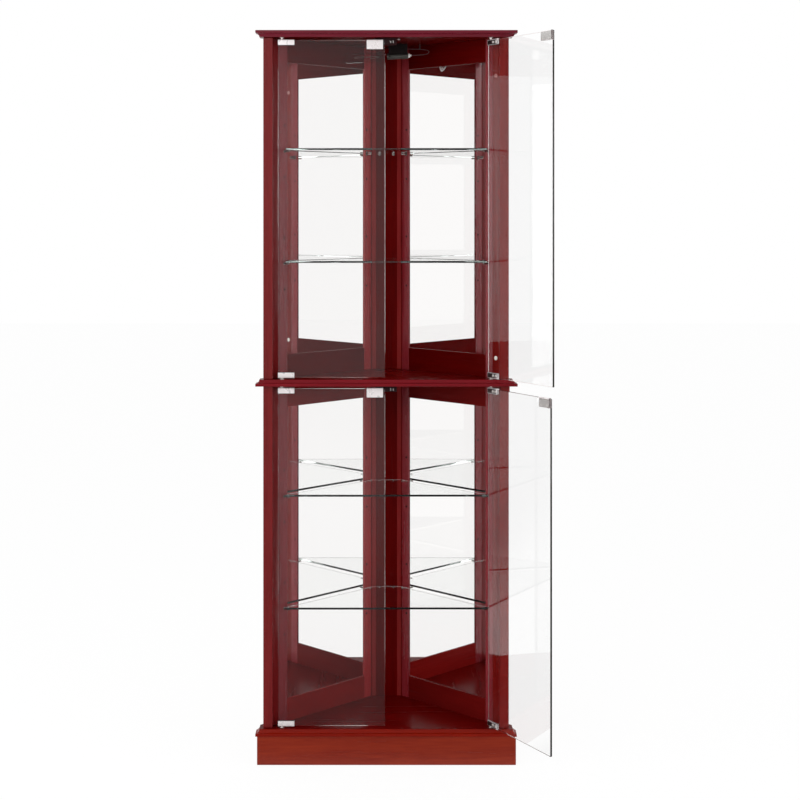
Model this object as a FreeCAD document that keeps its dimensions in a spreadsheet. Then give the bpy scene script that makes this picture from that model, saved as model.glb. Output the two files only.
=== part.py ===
import FreeCAD, Part
import math
import os
import re
import Sketcher
from FreeCAD import Placement, Rotation, Vector

# Corner curio cabinet, millimetres. X runs to the right, Y to the back, Z up.
# The origin lies on the floor under the middle of the front.

doc = FreeCAD.newDocument("CornerCabinet")
sheet = doc.addObject("Spreadsheet::Sheet", "Sizes")

drivingSizes = [
    ("bayHeight", 838, "clear height of each bay"),
    ("boardThick", 16, "crown, waist and base boards"),
    ("boardProud", 18, "boards past the posts, front and sides"),
    ("coveRadius", 9, "hollow moulding along the board edges"),
    ("plinthHeight", 70, "floor to the base board"),
    ("plinthThick", 16, "plinth boards"),
    ("plinthProud", 14, "plinth past the posts"),
    ("bodyHalf", 302, "half width over the posts"),
    ("postFace", 23, "front face of a post"),
    ("postReturn", 16, "inner return of a post before its slanted face"),
    ("postWall", 21, "slanted face of a post, along the wall"),
    ("wallThick", 21, "side frames, inner to outer face"),
    ("outerStile", 26, "stile next to the post"),
    ("innerStile", 25, "stile next to the corner board"),
    ("railHeight", 57, "top and bottom rail of a side frame"),
    ("lipThick", 3, "lip in front of the mirror"),
    ("rabbet", 5, "width of the step that holds the mirror"),
    ("mirrorThick", 4, "mirror"),
    ("backingThick", 3, "board behind the mirror"),
    ("mirrorGap", 1, "play of mirror and backing in their step"),
    ("cornerHalf", 40, "half width of the rear corner board, inside"),
    ("cornerThick", 25, "rear corner board"),
    ("pivotInset", 22.5, "door pivot in from the post"),
    ("pivotBack", 5.5, "door pivot behind the front"),
    ("glassThick", 5, "door glass"),
    ("glassPast", 9.5, "door glass past its pivot"),
    ("glassBevel", 0.6, "polished edge of the glass"),
    ("centreGap", 3.5, "free edge of a closed door to the middle"),
    ("doorLift", 4, "door glass above the board below it"),
    ("doorDrop", 6.5, "door glass below the board above it"),
    ("openUpper", 121, "upper right door as it stands"),
    ("openLower", 119.5, "lower right door as it stands"),
    ("clipLength", 40, "hinge clip along the door"),
    ("clipHeight", 12, "hinge clip up the door"),
    ("clipWall", 1.5, "hinge clip sheet"),
    ("pinRadius", 2.5, "pivot pin"),
    ("pinFit", 0.05, "running play of the pin"),
    ("pinReach", 5.5, "pivot pin inside the board"),
    ("bushRadius", 4.2, "bush"),
    ("bushDepth", 6.5, "bush in the board"),
    ("bushFit", 0.05, "bush in its hole"),
    ("bushSlack", 0.5, "bush hole deeper than its bush"),
    ("noseGap", 0.3, "hinge clip to bush"),
    ("strikeLength", 40, "strike plate along the door"),
    ("strikeHeight", 22, "strike plate down the door"),
    ("strikeWall", 1.2, "strike plate sheet"),
    ("strikeInset", 5, "strike plate from the free edge"),
    ("latchWidth", 50, "latch body"),
    ("latchDepth", 24, "latch body, front to back"),
    ("latchHeight", 16, "latch body"),
    ("latchBack", 14, "latch body behind the front"),
    ("latchBevel", 2, "latch body edges"),
    ("plungerSpread", 13.5, "plunger from the middle"),
    ("plungerDrop", 10, "plunger below the board"),
    ("plungerWidth", 11, "latch plunger"),
    ("plungerHeight", 8, "latch plunger"),
    ("plungerFit", 0.1, "plunger in its bore"),
    ("plungerLength", 16, "latch plunger"),
    ("plungerBore", 20, "bore of the latch body"),
    ("plungerGap", 0.3, "plunger to a closed door's strike plate"),
    ("shelfFirst", 284.5, "bay floor to the lower shelf"),
    ("shelfPitch", 278, "shelf to shelf"),
    ("shelfThick", 5, "shelf glass"),
    ("shelfGap", 14, "shelf to the walls"),
    ("shelfFront", 22, "front edge of a shelf behind the front"),
    ("shelfRear", 14, "shelf to the corner board"),
    ("pegRadius", 2.5, "peg over its corners"),
    ("pegFit", 0.05, "peg in its hole"),
    ("pegShank", 8, "peg in the wood"),
    ("pegHole", 10, "depth of the peg holes"),
    ("pegLength", 18, "peg out of the wood"),
    ("pegInset", 16.5, "side pegs from the post or the corner board"),
    ("pegSpread", 18, "rear pegs from the middle"),
    ("lampBack", 150, "lamp behind the front"),
    ("lampTilt", 3, "slope of the lamp in degrees, right end up"),
    ("socketLeft", 1.5, "mouth of the socket right of the middle"),
    ("socketDrop", 32.5, "mouth of the socket below the crown board"),
    ("socketRadius", 8, "lamp socket"),
    ("socketLength", 54, "lamp socket"),
    ("socketBore", 16, "depth of the socket"),
    ("neckRadius", 6.4, "neck of the bulb"),
    ("neckLength", 15, "neck of the bulb in the socket"),
    ("neckFit", 0.1, "neck in the socket"),
    ("bulbRadius", 12.5, "bulb"),
    ("bulbLength", 110, "bulb out of the socket"),
    ("bulbShoulder", 12, "cone of the bulb"),
    ("bulbCrown", 6.5, "rounding of the bulb end"),
    ("bulbTip", 7.5, "radius of the flat middle of the bulb end"),
    ("bulbWall", 1, "glass of the bulb"),
    ("capRadius", 5.5, "lead cap of the socket"),
    ("capLength", 8, "lead cap of the socket"),
    ("bracketWidth", 48, "lamp bracket"),
    ("bracketDepth", 24, "lamp bracket"),
    ("bracketLeft", 5.5, "lamp bracket right of the middle"),
    ("leadRadius", 1.25, "lamp lead"),
    ("leadClipX", 85, "clip of the lead right of the middle"),
    ("leadClipWall", 1, "clip of the lead"),
    ("leadClipWidth", 4, "clip of the lead"),
    ("leadFit", 0.2, "play of the lead in its clip"),
    ("cordHole", 6, "radius of the mains lead's way out"),
    ("cordDrop", 16, "mains lead's way out below the crown board"),
    ("cordLeft", 12, "mains lead's way out right of the middle"),
    ("cordFlange", 9.5, "grommet flange"),
    ("cordFlangeThick", 2, "grommet flange"),
    ("cordWall", 1.5, "grommet barrel"),
    ("dotRadius", 5.5, "screw cap on a post"),
    ("dotProud", 1.5, "screw cap out of the post"),
    ("dotLow", 50, "lower screw cap above the waist board"),
    ("dotHigh", 92, "upper screw cap below the crown board"),
]

for row, (alias, value, note) in enumerate(drivingSizes, start=1):
    sheet.set("A%d" % row, note)
    sheet.set("B%d" % row, str(value))
    sheet.setAlias("B%d" % row, alias)
doc.recompute()

size = {alias: value for alias, value, note in drivingSizes}

# Sizes that follow from the driving ones, as formulas over their names.
derived = {
    "baseTop": "plinthHeight + boardThick",
    "waistLow": "baseTop + bayHeight",
    "waistTop": "waistLow + boardThick",
    "crownLow": "waistTop + bayHeight",
    "postIn": "bodyHalf - postFace",
    "innerSum": "postIn + postReturn",
    "outerSum": "innerSum + wallThick * sqrt(2)",
    "slantX": "postIn - postWall / sqrt(2)",
    "slantY": "postReturn + postWall / sqrt(2)",
    "wallStep": "wallThick / sqrt(2)",
    "cornerY": "innerSum - cornerHalf",
    "wallLength": "(slantX - cornerHalf) * sqrt(2)",
    "mirrorHeight": "bayHeight - 2 * railHeight",
    "boardHalf": "bodyHalf + boardProud",
    "backY": "cornerY + cornerThick",
    "pivotX": "postIn - pivotInset",
    "doorHeight": "bayHeight - doorLift - doorDrop",
    "doorReach": "pivotX - centreGap",
    "strikeX": "doorReach - strikeInset",
    "clipHalf": "glassThick / 2 + clipWall",
    "strikeHalf": "glassThick / 2 + strikeWall",
    "plungerFace": "pivotBack + strikeHalf + plungerGap",
    "shelfSum": "innerSum - shelfGap * sqrt(2)",
    "shelfBack": "cornerY - shelfRear",
    "pegU": "pegInset",
    "pegV": "wallLength - pegInset",
    "pegSeat": "pegRadius * sqrt(3) / 2",
    "plinthBack": "plinthThick - plinthProud",
    "plinthSum": "outerSum - plinthThick * sqrt(2)",
    "plinthHalf": "bodyHalf + plinthProud",
}


def bound(text):
    """An expression over the sheet: every size name becomes a reference to its cell."""
    def swap(match):
        word = match.group(0)
        if word in derived:
            return "(" + bound(derived[word]) + ")"
        return "Sizes." + word if word in size else word
    return re.sub(r"[A-Za-z]\w*", swap, str(text))


# Sketches start as a polygon on a ring of this radius, or as circles this far apart, and their
# constraints then place them.
startRing = 100


def originPlane(body, role):
    return [item for item in body.Origin.OriginFeatures if item.Role == role][0]


def attachedSketch(body, name, role, lift):
    """A sketch on one of the body's own planes, lifted along the plane's normal."""
    sketch = body.newObject("Sketcher::SketchObject", name)
    sketch.AttachmentSupport = (originPlane(body, role), [""])
    sketch.MapMode = "FlatFace"
    if lift:
        sketch.setExpression("AttachmentOffset.Base.z", bound(lift))
    return sketch


def pin(sketch, geometry, point, place):
    """Ties one point of the sketch to a place that is bound to the sheet."""
    for kind, value in zip(("DistanceX", "DistanceY"), place):
        index = sketch.addConstraint(Sketcher.Constraint(kind, -1, 1, geometry, point, 1.0))
        sketch.setExpression("Constraints[%d]" % index, bound(value))


def outline(body, name, corners, role="XY_Plane", lift=None, closed=True):
    """A sketch of straight sides through the given corners."""
    sketch = attachedSketch(body, name, role, lift)
    count = len(corners)
    sides = count if closed else count - 1
    turns = [2 * math.pi * k / count for k in range(count)]
    ring = [Vector(startRing * math.cos(turn), startRing * math.sin(turn), 0) for turn in turns]
    for k in range(sides):
        sketch.addGeometry(Part.LineSegment(ring[k], ring[(k + 1) % count]), False)
    for k in range(sides if closed else sides - 1):
        sketch.addConstraint(Sketcher.Constraint("Coincident", k, 2, (k + 1) % count, 1))
    for k in range(sides):
        pin(sketch, k, 1, corners[k])
    if not closed:
        pin(sketch, sides - 1, 2, corners[-1])
    return sketch


def circles(body, name, centres, radius, role="XY_Plane", lift=None):
    """A sketch of equal circles."""
    sketch = attachedSketch(body, name, role, lift)
    for k, centre in enumerate(centres):
        sketch.addGeometry(Part.Circle(Vector(startRing * k, 0, 0), Vector(0, 0, 1), 1.0), False)
        pin(sketch, k, 3, centre)
        index = sketch.addConstraint(Sketcher.Constraint("Radius", k, 1.0))
        sketch.setExpression("Constraints[%d]" % index, bound(radius))
    return sketch


def newBody(label):
    body = doc.addObject("PartDesign::Body", label)
    body.Label = label
    return body


def pad(body, sketch, height, downwards=False):
    feature = body.newObject("PartDesign::Pad", sketch.Name + "Pad")
    feature.Profile = sketch
    feature.setExpression("Length", bound(height))
    feature.Reversed = downwards
    body.Tip = feature
    return feature


def pocket(body, sketch, depth, turned=False):
    """A cut that has to take something away."""
    doc.recompute()
    before = body.Shape.Volume
    feature = body.newObject("PartDesign::Pocket", sketch.Name + "Cut")
    feature.Profile = sketch
    feature.setExpression("Length", bound(depth))
    feature.Reversed = turned
    body.Tip = feature
    doc.recompute()
    if body.Shape.Volume > before - 1e-3:
        raise RuntimeError(body.Label + ": the cut " + sketch.Name + " misses the solid")
    return feature


def pegHoles(body, places, turned=False):
    """Blind holes of the pegs' six-sided section, with a flat on top."""
    reach = "(pegRadius + pegFit)"
    for k, (x, z) in enumerate(places):
        corners = [("%s + %s * cos(%d deg)" % (x, reach, turn), "%s + %s * sin(%d deg)" % (z, reach, turn))
                   for turn in range(0, 360, 60)]
        hole = outline(body, "%sHole%d" % (body.Label, k), corners, role="XZ_Plane")
        pocket(body, hole, "pegHole", turned=turned)


def turned(label, corners):
    """A round piece: an outline of (radius, height) corners turned about Z."""
    body = newBody(label)
    sketch = outline(body, label + "Profile", corners, role="XZ_Plane")
    feature = body.newObject("PartDesign::Revolution", label + "Turn")
    feature.Profile = sketch
    feature.ReferenceAxis = (sketch, ["V_Axis"])
    feature.Angle = 360
    body.Tip = feature
    return body


def place(item, x=0, y=0, z=0, rotation=None, angle=None):
    """Puts a piece where the sheet says."""
    item.Placement = Placement(Vector(), rotation or Rotation())
    for axis, value in (("x", x), ("y", y), ("z", z)):
        item.setExpression("Placement.Base." + axis, bound(value))
    if angle:
        item.setExpression("Placement.Rotation.Angle", "(" + bound(angle) + ") * 1 deg")
    return item


def slab(label, corners, height, **where):
    """A flat piece: an outline padded upwards."""
    body = newBody(label)
    pad(body, outline(body, label + "Outline", corners), height)
    return place(body, **where)


def group(label, members):
    """Equal pieces under one name, each a solid of its own."""
    bundle = doc.addObject("Part::Compound", label)
    bundle.Label = label
    bundle.Links = members
    return bundle


def flipped(corners, sign):
    """The same outline for the right (1) or mirrored for the left (-1)."""
    if sign > 0:
        return corners
    return [("-(%s)" % x, y) for x, y in corners]


sides = {"left": -1, "right": 1}
bays = {"lower": "baseTop", "upper": "waistTop"}
nodes = []


# ---- boards -----------------------------------------------------------------

def mouldedBoard(label, z, coveZ, sockets):
    """A board of the corner plan with a hollow moulding along its front and side edges."""
    right = [("boardHalf", "-boardProud"), ("boardHalf", "outerSum - boardHalf"),
             ("outerSum - backY", "backY")]
    left = [("-(%s)" % x, y) for x, y in reversed(right)]
    body = newBody(label)
    pad(body, outline(body, label + "Outline", right + left), "boardThick")
    run = [("-boardHalf", "shelfFront"), ("-boardHalf", "-boardProud"),
           ("boardHalf", "-boardProud"), ("boardHalf", "shelfFront")]
    path = outline(body, label + "Path", run, lift=coveZ, closed=False)
    cove = circles(body, label + "Cove", [("-boardHalf", coveZ)], "coveRadius",
                   role="XZ_Plane", lift="-shelfFront")
    doc.recompute()
    before = body.Shape.Volume
    moulding = body.newObject("PartDesign::SubtractivePipe", label + "Moulding")
    moulding.Profile = cove
    moulding.Spine = path
    moulding.Transition = "Right corner"
    body.Tip = moulding
    doc.recompute()
    if body.Shape.Volume > before - 1e-3:
        raise RuntimeError(label + ": the moulding misses the board")
    for k, (lift, up) in enumerate(sockets):
        holes = circles(body, "%sPivot%d" % (label, k), [("-pivotX", "pivotBack"), ("pivotX", "pivotBack")],
                        "bushRadius + bushFit", lift=lift)
        pocket(body, holes, "bushDepth + bushSlack", turned=up)
    nodes.append(place(body, z=z))


mouldedBoard("base_panel", "plinthHeight", "boardThick", [("boardThick", False)])
mouldedBoard("waist_panel", "waistLow", "boardThick", [("boardThick", False), (0, True)])
mouldedBoard("crown_panel", "crownLow", 0, [(0, True)])


# ---- plinth -----------------------------------------------------------------

nodes.append(slab("plinth_front",
                  [("-plinthHalf", "-plinthProud"), ("plinthHalf", "-plinthProud"),
                   ("plinthHalf", "plinthBack"), ("-plinthHalf", "plinthBack")], "plinthHeight"))
for side, sign in sides.items():
    corners = [("plinthSum - plinthBack", "plinthBack"), ("plinthHalf", "plinthBack"),
               ("plinthHalf", "outerSum - plinthHalf"), ("outerSum - backY", "backY"),
               ("plinthSum - backY", "backY")]
    nodes.append(slab("plinth_" + side, flipped(corners, sign), "plinthHeight"))


# ---- posts and corner boards ------------------------------------------------

for bay, floor in bays.items():
    for side, sign in sides.items():
        label = "post_%s_%s" % (bay, side)
        corners = [("postIn", 0), ("bodyHalf", 0), ("bodyHalf", "outerSum - bodyHalf"),
                   ("slantX + wallStep", "slantY + wallStep"), ("slantX", "slantY"), ("postIn", "postReturn")]
        post = slab(label, flipped(corners, sign), "bayHeight", z=floor)
        nodes.append(post)

    label = "corner_board_" + bay
    corners = [("-cornerHalf", 0), ("cornerHalf", 0), ("cornerHalf + wallStep", "wallStep"),
               ("outerSum - backY", "cornerThick"), ("-(outerSum - backY)", "cornerThick"),
               ("-(cornerHalf + wallStep)", "wallStep")]
    board = slab(label, corners, "bayHeight", y="cornerY", z=floor)
    centres = [(spread, "shelfFirst + %d * shelfPitch - pegSeat" % level)
               for level in (0, 1) for spread in ("-pegSpread", "pegSpread")]
    pegHoles(board, centres)
    if bay == "upper":
        way = circles(board, label + "Way", [("cordLeft", "bayHeight - cordDrop")], "cordHole + cordWall",
                      role="XZ_Plane")
        pocket(board, way, "cornerThick")
    nodes.append(board)


# ---- side frames with their mirrors -----------------------------------------

def wallPlace(sign, floor, along=0, through=0, up=0):
    """Puts a piece of a side frame: its X runs from the post to the corner board."""
    x = "slantX - (%s) / sqrt(2) + (%s) / sqrt(2)" % (along, through)
    return {"x": x if sign > 0 else "-(%s)" % x,
            "y": "slantY + (%s) / sqrt(2) + (%s) / sqrt(2)" % (along, through),
            "z": "%s + %s" % (floor, up),
            "rotation": Rotation(Vector(0, 0, 1), 135 if sign > 0 else 45)}


def wallCorners(corners, sign):
    """Outline corners given as (along the wall, through the wall)."""
    return [(u, "-(%s)" % v if sign > 0 else v) for u, v in corners]


def rectangle(low, high, near, far):
    return [(low, near), (high, near), (high, far), (low, far)]


def stile(label, corners, holeAt, sign, floor):
    body = newBody(label)
    pad(body, outline(body, label + "Outline", wallCorners(corners, sign)), "bayHeight")
    centres = [(holeAt, "shelfFirst + %d * shelfPitch - pegSeat" % level) for level in (0, 1)]
    pegHoles(body, centres, turned=sign > 0)
    return place(body, **wallPlace(sign, floor))


def rail(label, sign, floor, up, backUp):
    """A rail: a face plate between the lips and a back plate between the shoulders."""
    body = newBody(label)
    face = rectangle("outerStile", "wallLength - innerStile", 0, "lipThick")
    pad(body, outline(body, label + "Face", wallCorners(face, sign)), "railHeight")
    back = rectangle("outerStile - rabbet", "wallLength - innerStile + rabbet", "lipThick", "wallThick")
    pad(body, outline(body, label + "Back", wallCorners(back, sign), lift=backUp), "railHeight - rabbet")
    return place(body, **wallPlace(sign, floor, up=up))


backings = {}
for bay, floor in bays.items():
    for side, sign in sides.items():
        where = "%s_%s" % (bay, side)
        outer = [(0, 0), ("outerStile", 0), ("outerStile", "lipThick"), ("outerStile - rabbet", "lipThick"),
                 ("outerStile - rabbet", "wallThick"), (0, "wallThick")]
        nodes.append(stile("outer_stile_" + where, outer, "pegU", sign, floor))
        inner = [("wallLength", 0), ("wallLength", "wallThick"),
                 ("wallLength - innerStile + rabbet", "wallThick"),
                 ("wallLength - innerStile + rabbet", "lipThick"),
                 ("wallLength - innerStile", "lipThick"), ("wallLength - innerStile", 0)]
        nodes.append(stile("inner_stile_" + where, inner, "pegV", sign, floor))
        low = rail("bottom_rail_" + where, sign, floor, 0, 0)
        high = rail("top_rail_" + where, sign, floor, "bayHeight - railHeight", "rabbet")
        nodes.append(group("side_rails_" + where, [low, high]))

        panel = {"mirror_": ("lipThick", "mirrorThick"),
                 "backing_": ("lipThick + mirrorThick", "backingThick")}
        for name, (depth, thick) in panel.items():
            plate = rectangle("outerStile - rabbet + mirrorGap",
                              "wallLength - innerStile + rabbet - mirrorGap", 0, thick)
            spot = wallPlace(sign, floor, through=depth, up="railHeight - rabbet + mirrorGap")
            sheetBody = slab(name + where, wallCorners(plate, sign),
                             "mirrorHeight + 2 * (rabbet - mirrorGap)", **spot)
            if name == "mirror_":
                nodes.append(sheetBody)
            else:
                backings.setdefault(bay, []).append(sheetBody)
    nodes.append(group("mirror_backings_" + bay, backings[bay]))


# ---- doors ------------------------------------------------------------------

def doorPlace(sign, z, angle):
    """A door's pieces are drawn from its pivot axis and stand at the door's angle."""
    turn = Rotation(Vector(0, 0, 1), 1) if angle else Rotation()
    return {"x": "pivotX" if sign > 0 else "-pivotX", "y": "pivotBack", "z": z,
            "rotation": turn, "angle": angle}


def channel(label, low, high, half, height, wall, sign, upwards):
    """A bent metal channel that sits over the edge of a door glass."""
    body = newBody(label)
    corners = rectangle(low, high, "-(%s)" % half, half)
    pad(body, outline(body, label + "Outline", flipped(corners, -sign)), "%s + %s" % (height, wall))
    slot = rectangle("%s - 1" % low, "%s + 1" % high, "-glassThick / 2", "glassThick / 2")
    lift = wall if upwards else "%s" % height
    cut = outline(body, label + "Slot", flipped(slot, -sign), lift=lift)
    pocket(body, cut, height, turned=upwards)
    return body


for bay, floor in bays.items():
    for side, sign in sides.items():
        where = "%s_%s" % (bay, side)
        stands = {"upper_right": "openUpper", "lower_right": "openLower"}.get(where)
        doorLow = floor + " + doorLift"

        glass = newBody("door_glass_" + where)
        corners = rectangle("-glassPast", "doorReach", "-glassThick / 2", "glassThick / 2")
        blank = pad(glass, outline(glass, "Glass_" + where, flipped(corners, -sign)), "doorHeight")
        doc.recompute()
        polish = glass.newObject("PartDesign::Chamfer", "Polish_" + where)
        polish.Base = (blank, ["Edge%d" % (k + 1) for k in range(len(blank.Shape.Edges))])
        polish.setExpression("Size", bound("glassBevel"))
        glass.Tip = polish
        nodes.append(place(glass, **doorPlace(sign, doorLow, stands)))

        clips = []
        for end, upwards, gap in (("bottom", True, "doorLift"), ("top", False, "doorDrop")):
            label = "hinge_clip_%s_%s" % (end, where)
            clip = channel(label, "-glassPast", "clipLength - glassPast", "clipHalf", "clipHeight",
                           "clipWall", sign, upwards)
            lift = 0 if upwards else "clipHeight + clipWall"
            pivot = circles(clip, label + "Pin", [(0, 0)], "pinRadius", lift=lift)
            pad(clip, pivot, gap + " - clipWall + pinReach", downwards=upwards)
            z = doorLow + " - clipWall" if upwards else doorLow + " + doorHeight - clipHeight"
            clips.append(place(clip, **doorPlace(sign, z, stands)))
        nodes.append(group("hinge_clips_" + where, clips))

        strike = channel("strike_plate_" + where, "strikeX - strikeLength", "strikeX", "strikeHalf",
                         "strikeHeight", "strikeWall", sign, False)
        nodes.append(place(strike, **doorPlace(sign, doorLow + " + doorHeight - strikeHeight", stands)))

bushes = []
for bay, floor in bays.items():
    for side, sign in sides.items():
        for end, z, gap, turn in (("low", floor, "doorLift", 180),
                                  ("high", floor + " + bayHeight", "doorDrop", 0)):
            nose = "clipWall + noseGap - " + gap
            bush = turned("bush_%s_%s_%s" % (bay, side, end),
                          [("pinRadius + pinFit", nose), ("bushRadius", nose),
                           ("bushRadius", "bushDepth"), ("pinRadius + pinFit", "bushDepth")])
            x = "pivotX" if sign > 0 else "-pivotX"
            bushes.append(place(bush, x, "pivotBack", z, Rotation(Vector(1, 0, 0), turn)))
nodes.append(group("pivot_bushes", bushes))


# ---- latches ----------------------------------------------------------------

latches = []
for bay, floor in bays.items():
    board = floor + " + bayHeight"
    latch = newBody("latch_body_" + bay)
    corners = rectangle("-latchWidth / 2", "latchWidth / 2", 0, "latchDepth")
    block = pad(latch, outline(latch, "Latch_" + bay, corners), "latchHeight")
    doc.recompute()
    upright = [k + 1 for k, edge in enumerate(block.Shape.Edges)
               if abs(edge.tangentAt(edge.FirstParameter).z) > 0.9]
    bevelled = latch.newObject("PartDesign::Chamfer", "LatchBevel_" + bay)
    bevelled.Base = (block, ["Edge%d" % k for k in upright])
    bevelled.setExpression("Size", bound("latchBevel"))
    latch.Tip = bevelled
    for side, sign in sides.items():
        middle = "%d * plungerSpread" % sign
        reach = "(plungerWidth / 2 + plungerFit)"
        mouth = rectangle("%s - %s" % (middle, reach), "%s + %s" % (middle, reach),
                          "latchHeight - plungerDrop - plungerHeight / 2 - plungerFit",
                          "latchHeight - plungerDrop + plungerHeight / 2 + plungerFit")
        pocket(latch, outline(latch, "LatchBore_%s_%s" % (bay, side), mouth, role="XZ_Plane"), "plungerBore")
    latches.append(place(latch, y="latchBack", z=board + " - latchHeight"))
    for side, sign in sides.items():
        foot = rectangle("-plungerWidth / 2", "plungerWidth / 2", 0, "plungerLength")
        nodes.append(slab("latch_plunger_%s_%s" % (bay, side), foot, "plungerHeight",
                          x="%d * plungerSpread" % sign, y="plungerFace",
                          z=board + " - plungerDrop - plungerHeight / 2"))
nodes.append(group("latch_bodies", latches))


# ---- shelves and pegs -------------------------------------------------------

pegs = []
for bay, floor in bays.items():
    for level, name in enumerate(("low", "high")):
        z = "%s + shelfFirst + %d * shelfPitch" % (floor, level)
        right = [("shelfSum - shelfFront", "shelfFront"), ("shelfSum - shelfBack", "shelfBack")]
        left = [("-(%s)" % x, y) for x, y in reversed(right)]
        nodes.append(slab("shelf_%s_%s" % (bay, name), right + left, "shelfThick", z=z))
        seats = []
        for side, sign in sides.items():
            for along in ("pegU", "pegV"):
                spot = wallPlace(sign, floor, along, "pegShank")
                seats.append((spot["x"], spot["y"], Vector(-sign, -1, 0)))
            seats.append(("%d * pegSpread" % sign, "cornerY + pegShank", Vector(0, -1, 0)))
        for x, y, inwards in seats:
            peg = doc.addObject("Part::Prism", "ShelfPeg")
            peg.Polygon = 6
            peg.setExpression("Circumradius", bound("pegRadius"))
            peg.setExpression("Height", bound("pegShank + pegLength"))
            up = Vector(0, 0, 1)
            pegs.append(place(peg, x, y, z + " - pegSeat", Rotation(up.cross(inwards), up, inwards, "ZYX")))
nodes.append(group("shelf_pegs", pegs))


# ---- lamp -------------------------------------------------------------------

def lampPlace(item):
    """The lamp's own axis runs along Z in its pieces, and slopes up to the right in the cabinet."""
    return place(item, "socketLeft", "lampBack", "crownLow - socketDrop",
                 Rotation(Vector(0, 1, 0), 1), "90 - lampTilt")


socketForm = [(0, "socketBore"), ("neckRadius + neckFit", "socketBore"), ("neckRadius + neckFit", 0),
              ("socketRadius", 0), ("socketRadius", "socketLength"), ("capRadius", "socketLength"),
              ("capRadius", "socketLength + capLength"), (0, "socketLength + capLength")]
nodes.append(lampPlace(turned("lamp_socket", socketForm)))

def bulbForm(name, head, wall):
    """The bulb's profile below its head, drawn in by the wall and turned about its axis."""
    return turned(name, head + [
        ("neckRadius - " + wall, 0), ("bulbRadius - " + wall, "-bulbShoulder"),
        ("bulbRadius - " + wall, "bulbCrown - bulbLength"), ("bulbTip - " + wall, wall + " - bulbLength"),
        (0, wall + " - bulbLength")])


# The neck is solid, and the glass below it is hollow.
bulb = doc.addObject("Part::Cut", "lamp_bulb")
bulb.Base = bulbForm("BulbOutside", [(0, "neckLength"), ("neckRadius", "neckLength")], "0")
bulb.Tool = bulbForm("BulbInside", [(0, 0)], "bulbWall")
nodes.append(lampPlace(bulb))

bracket = newBody("lamp_bracket")
block = rectangle(0, "bracketWidth", "-bracketDepth / 2", "bracketDepth / 2")
pad(bracket, outline(bracket, "BracketBlock", block), "socketDrop - socketRadius / 2", downwards=True)
saddle = doc.addObject("Part::Cylinder", "BracketSaddle")
saddle.setExpression("Radius", bound("socketRadius"))
saddle.setExpression("Height", bound("socketLength"))
lampPlace(saddle)
place(bracket, "bracketLeft", "lampBack", "crownLow")
seated = doc.addObject("Part::Cut", "lamp_bracket_cut")
seated.Base = bracket
seated.Tool = saddle
bracket.Label = "lamp_bracket_blank"
seated.Label = "lamp_bracket"
nodes.append(seated)


def val(text):
    """A size, or a sum of sizes, as the sheet has it now."""
    total = 0
    for sign, word in re.findall(r"([+-]?)\s*([A-Za-z]\w*)", text):
        amount = val(derived[word]) if word in derived else sheet.get(word)
        total += -amount if sign == "-" else amount
    return total


# The lead leaves the socket's cap along its axis, turns back and goes into the bracket's side:
# each corner is (right, below the crown board).
tilt = math.radians(sheet.get("lampTilt"))
capEnd = val("socketLength + capLength")


def onAxis(beyond):
    """A point on the lamp's axis past the cap's end."""
    run = capEnd + beyond
    return (val("socketLeft") + run * math.cos(tilt), val("socketDrop") - run * math.sin(tilt))


leadRoute = [onAxis(0), onAxis(33), (109, 24), (106, 13), (val("bracketLeft + bracketWidth"), 13)]


# How much of the shorter run an arc may take on its side of a corner.
bendShare = 0.49


def tubePath(points):
    """Straight runs with tangent arcs at the corners, each as large as its two runs allow."""
    edges = []
    start = points[0]
    for before, corner, after in zip(points, points[1:], points[2:]):
        back = (before - corner).normalize()
        ahead = (after - corner).normalize()
        half = (math.pi - back.getAngle(ahead)) / 2
        reach = bendShare * min((before - corner).Length, (after - corner).Length)
        radius = reach / math.tan(half)
        middle = corner + (back + ahead).normalize() * (radius / math.cos(half) - radius)
        edges.append(Part.LineSegment(start, corner + back * reach).toShape())
        edges.append(Part.Arc(corner + back * reach, middle, corner + ahead * reach).toShape())
        start = corner + ahead * reach
    edges.append(Part.LineSegment(start, points[-1]).toShape())
    return Part.Wire(edges)


leadSides = 6
crownLow = val("plinthHeight + boardThick + bayHeight + boardThick + bayHeight")
leadPoints = [Vector(x, val("lampBack"), crownLow - drop) for x, drop in leadRoute]
outset = (leadPoints[1] - leadPoints[0]).normalize().cross(Vector(0, 1, 0))
across = Vector(0, val("leadRadius"), 0)
rim = []
for k in range(leadSides + 1):
    turn = 2 * math.pi * k / leadSides
    rim.append(leadPoints[0] + across * math.cos(turn) + outset * (val("leadRadius") * math.sin(turn)))
path = tubePath(leadPoints)
lead = doc.addObject("Part::Feature", "lamp_lead")
lead.Shape = path.makePipeShell([Part.makePolygon(rim)], True, False)
print("lead volume %.1f mm3, length %.1f mm" % (lead.Shape.Volume, path.Length))
nodes.append(lead)

# A small strap hangs from the crown board and holds the lead's upper run, which is level there.
clipDrop = leadRoute[-1][1]
clipHalf = "(leadRadius + leadFit + leadClipWall)"
bore = doc.addObject("Part::Cylinder", "LeadBore")
bore.setExpression("Radius", bound("leadRadius + leadFit"))
bore.setExpression("Height", bound("leadClipWidth"))
place(bore, "leadClipX - leadClipWidth / 2", "lampBack", "crownLow - %s" % clipDrop,
      Rotation(Vector(0, 1, 0), 90))
strap = doc.addObject("Part::Box", "LeadStrap")
strap.setExpression("Length", bound("leadClipWidth"))
strap.setExpression("Width", bound("2 * " + clipHalf))
strap.setExpression("Height", bound("%s + %s" % (clipDrop, clipHalf)))
place(strap, "leadClipX - leadClipWidth / 2", "lampBack - " + clipHalf,
      "crownLow - %s - %s" % (clipDrop, clipHalf))
clip = doc.addObject("Part::Cut", "lead_clip")
clip.Base = strap
clip.Tool = bore
nodes.append(clip)

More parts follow.
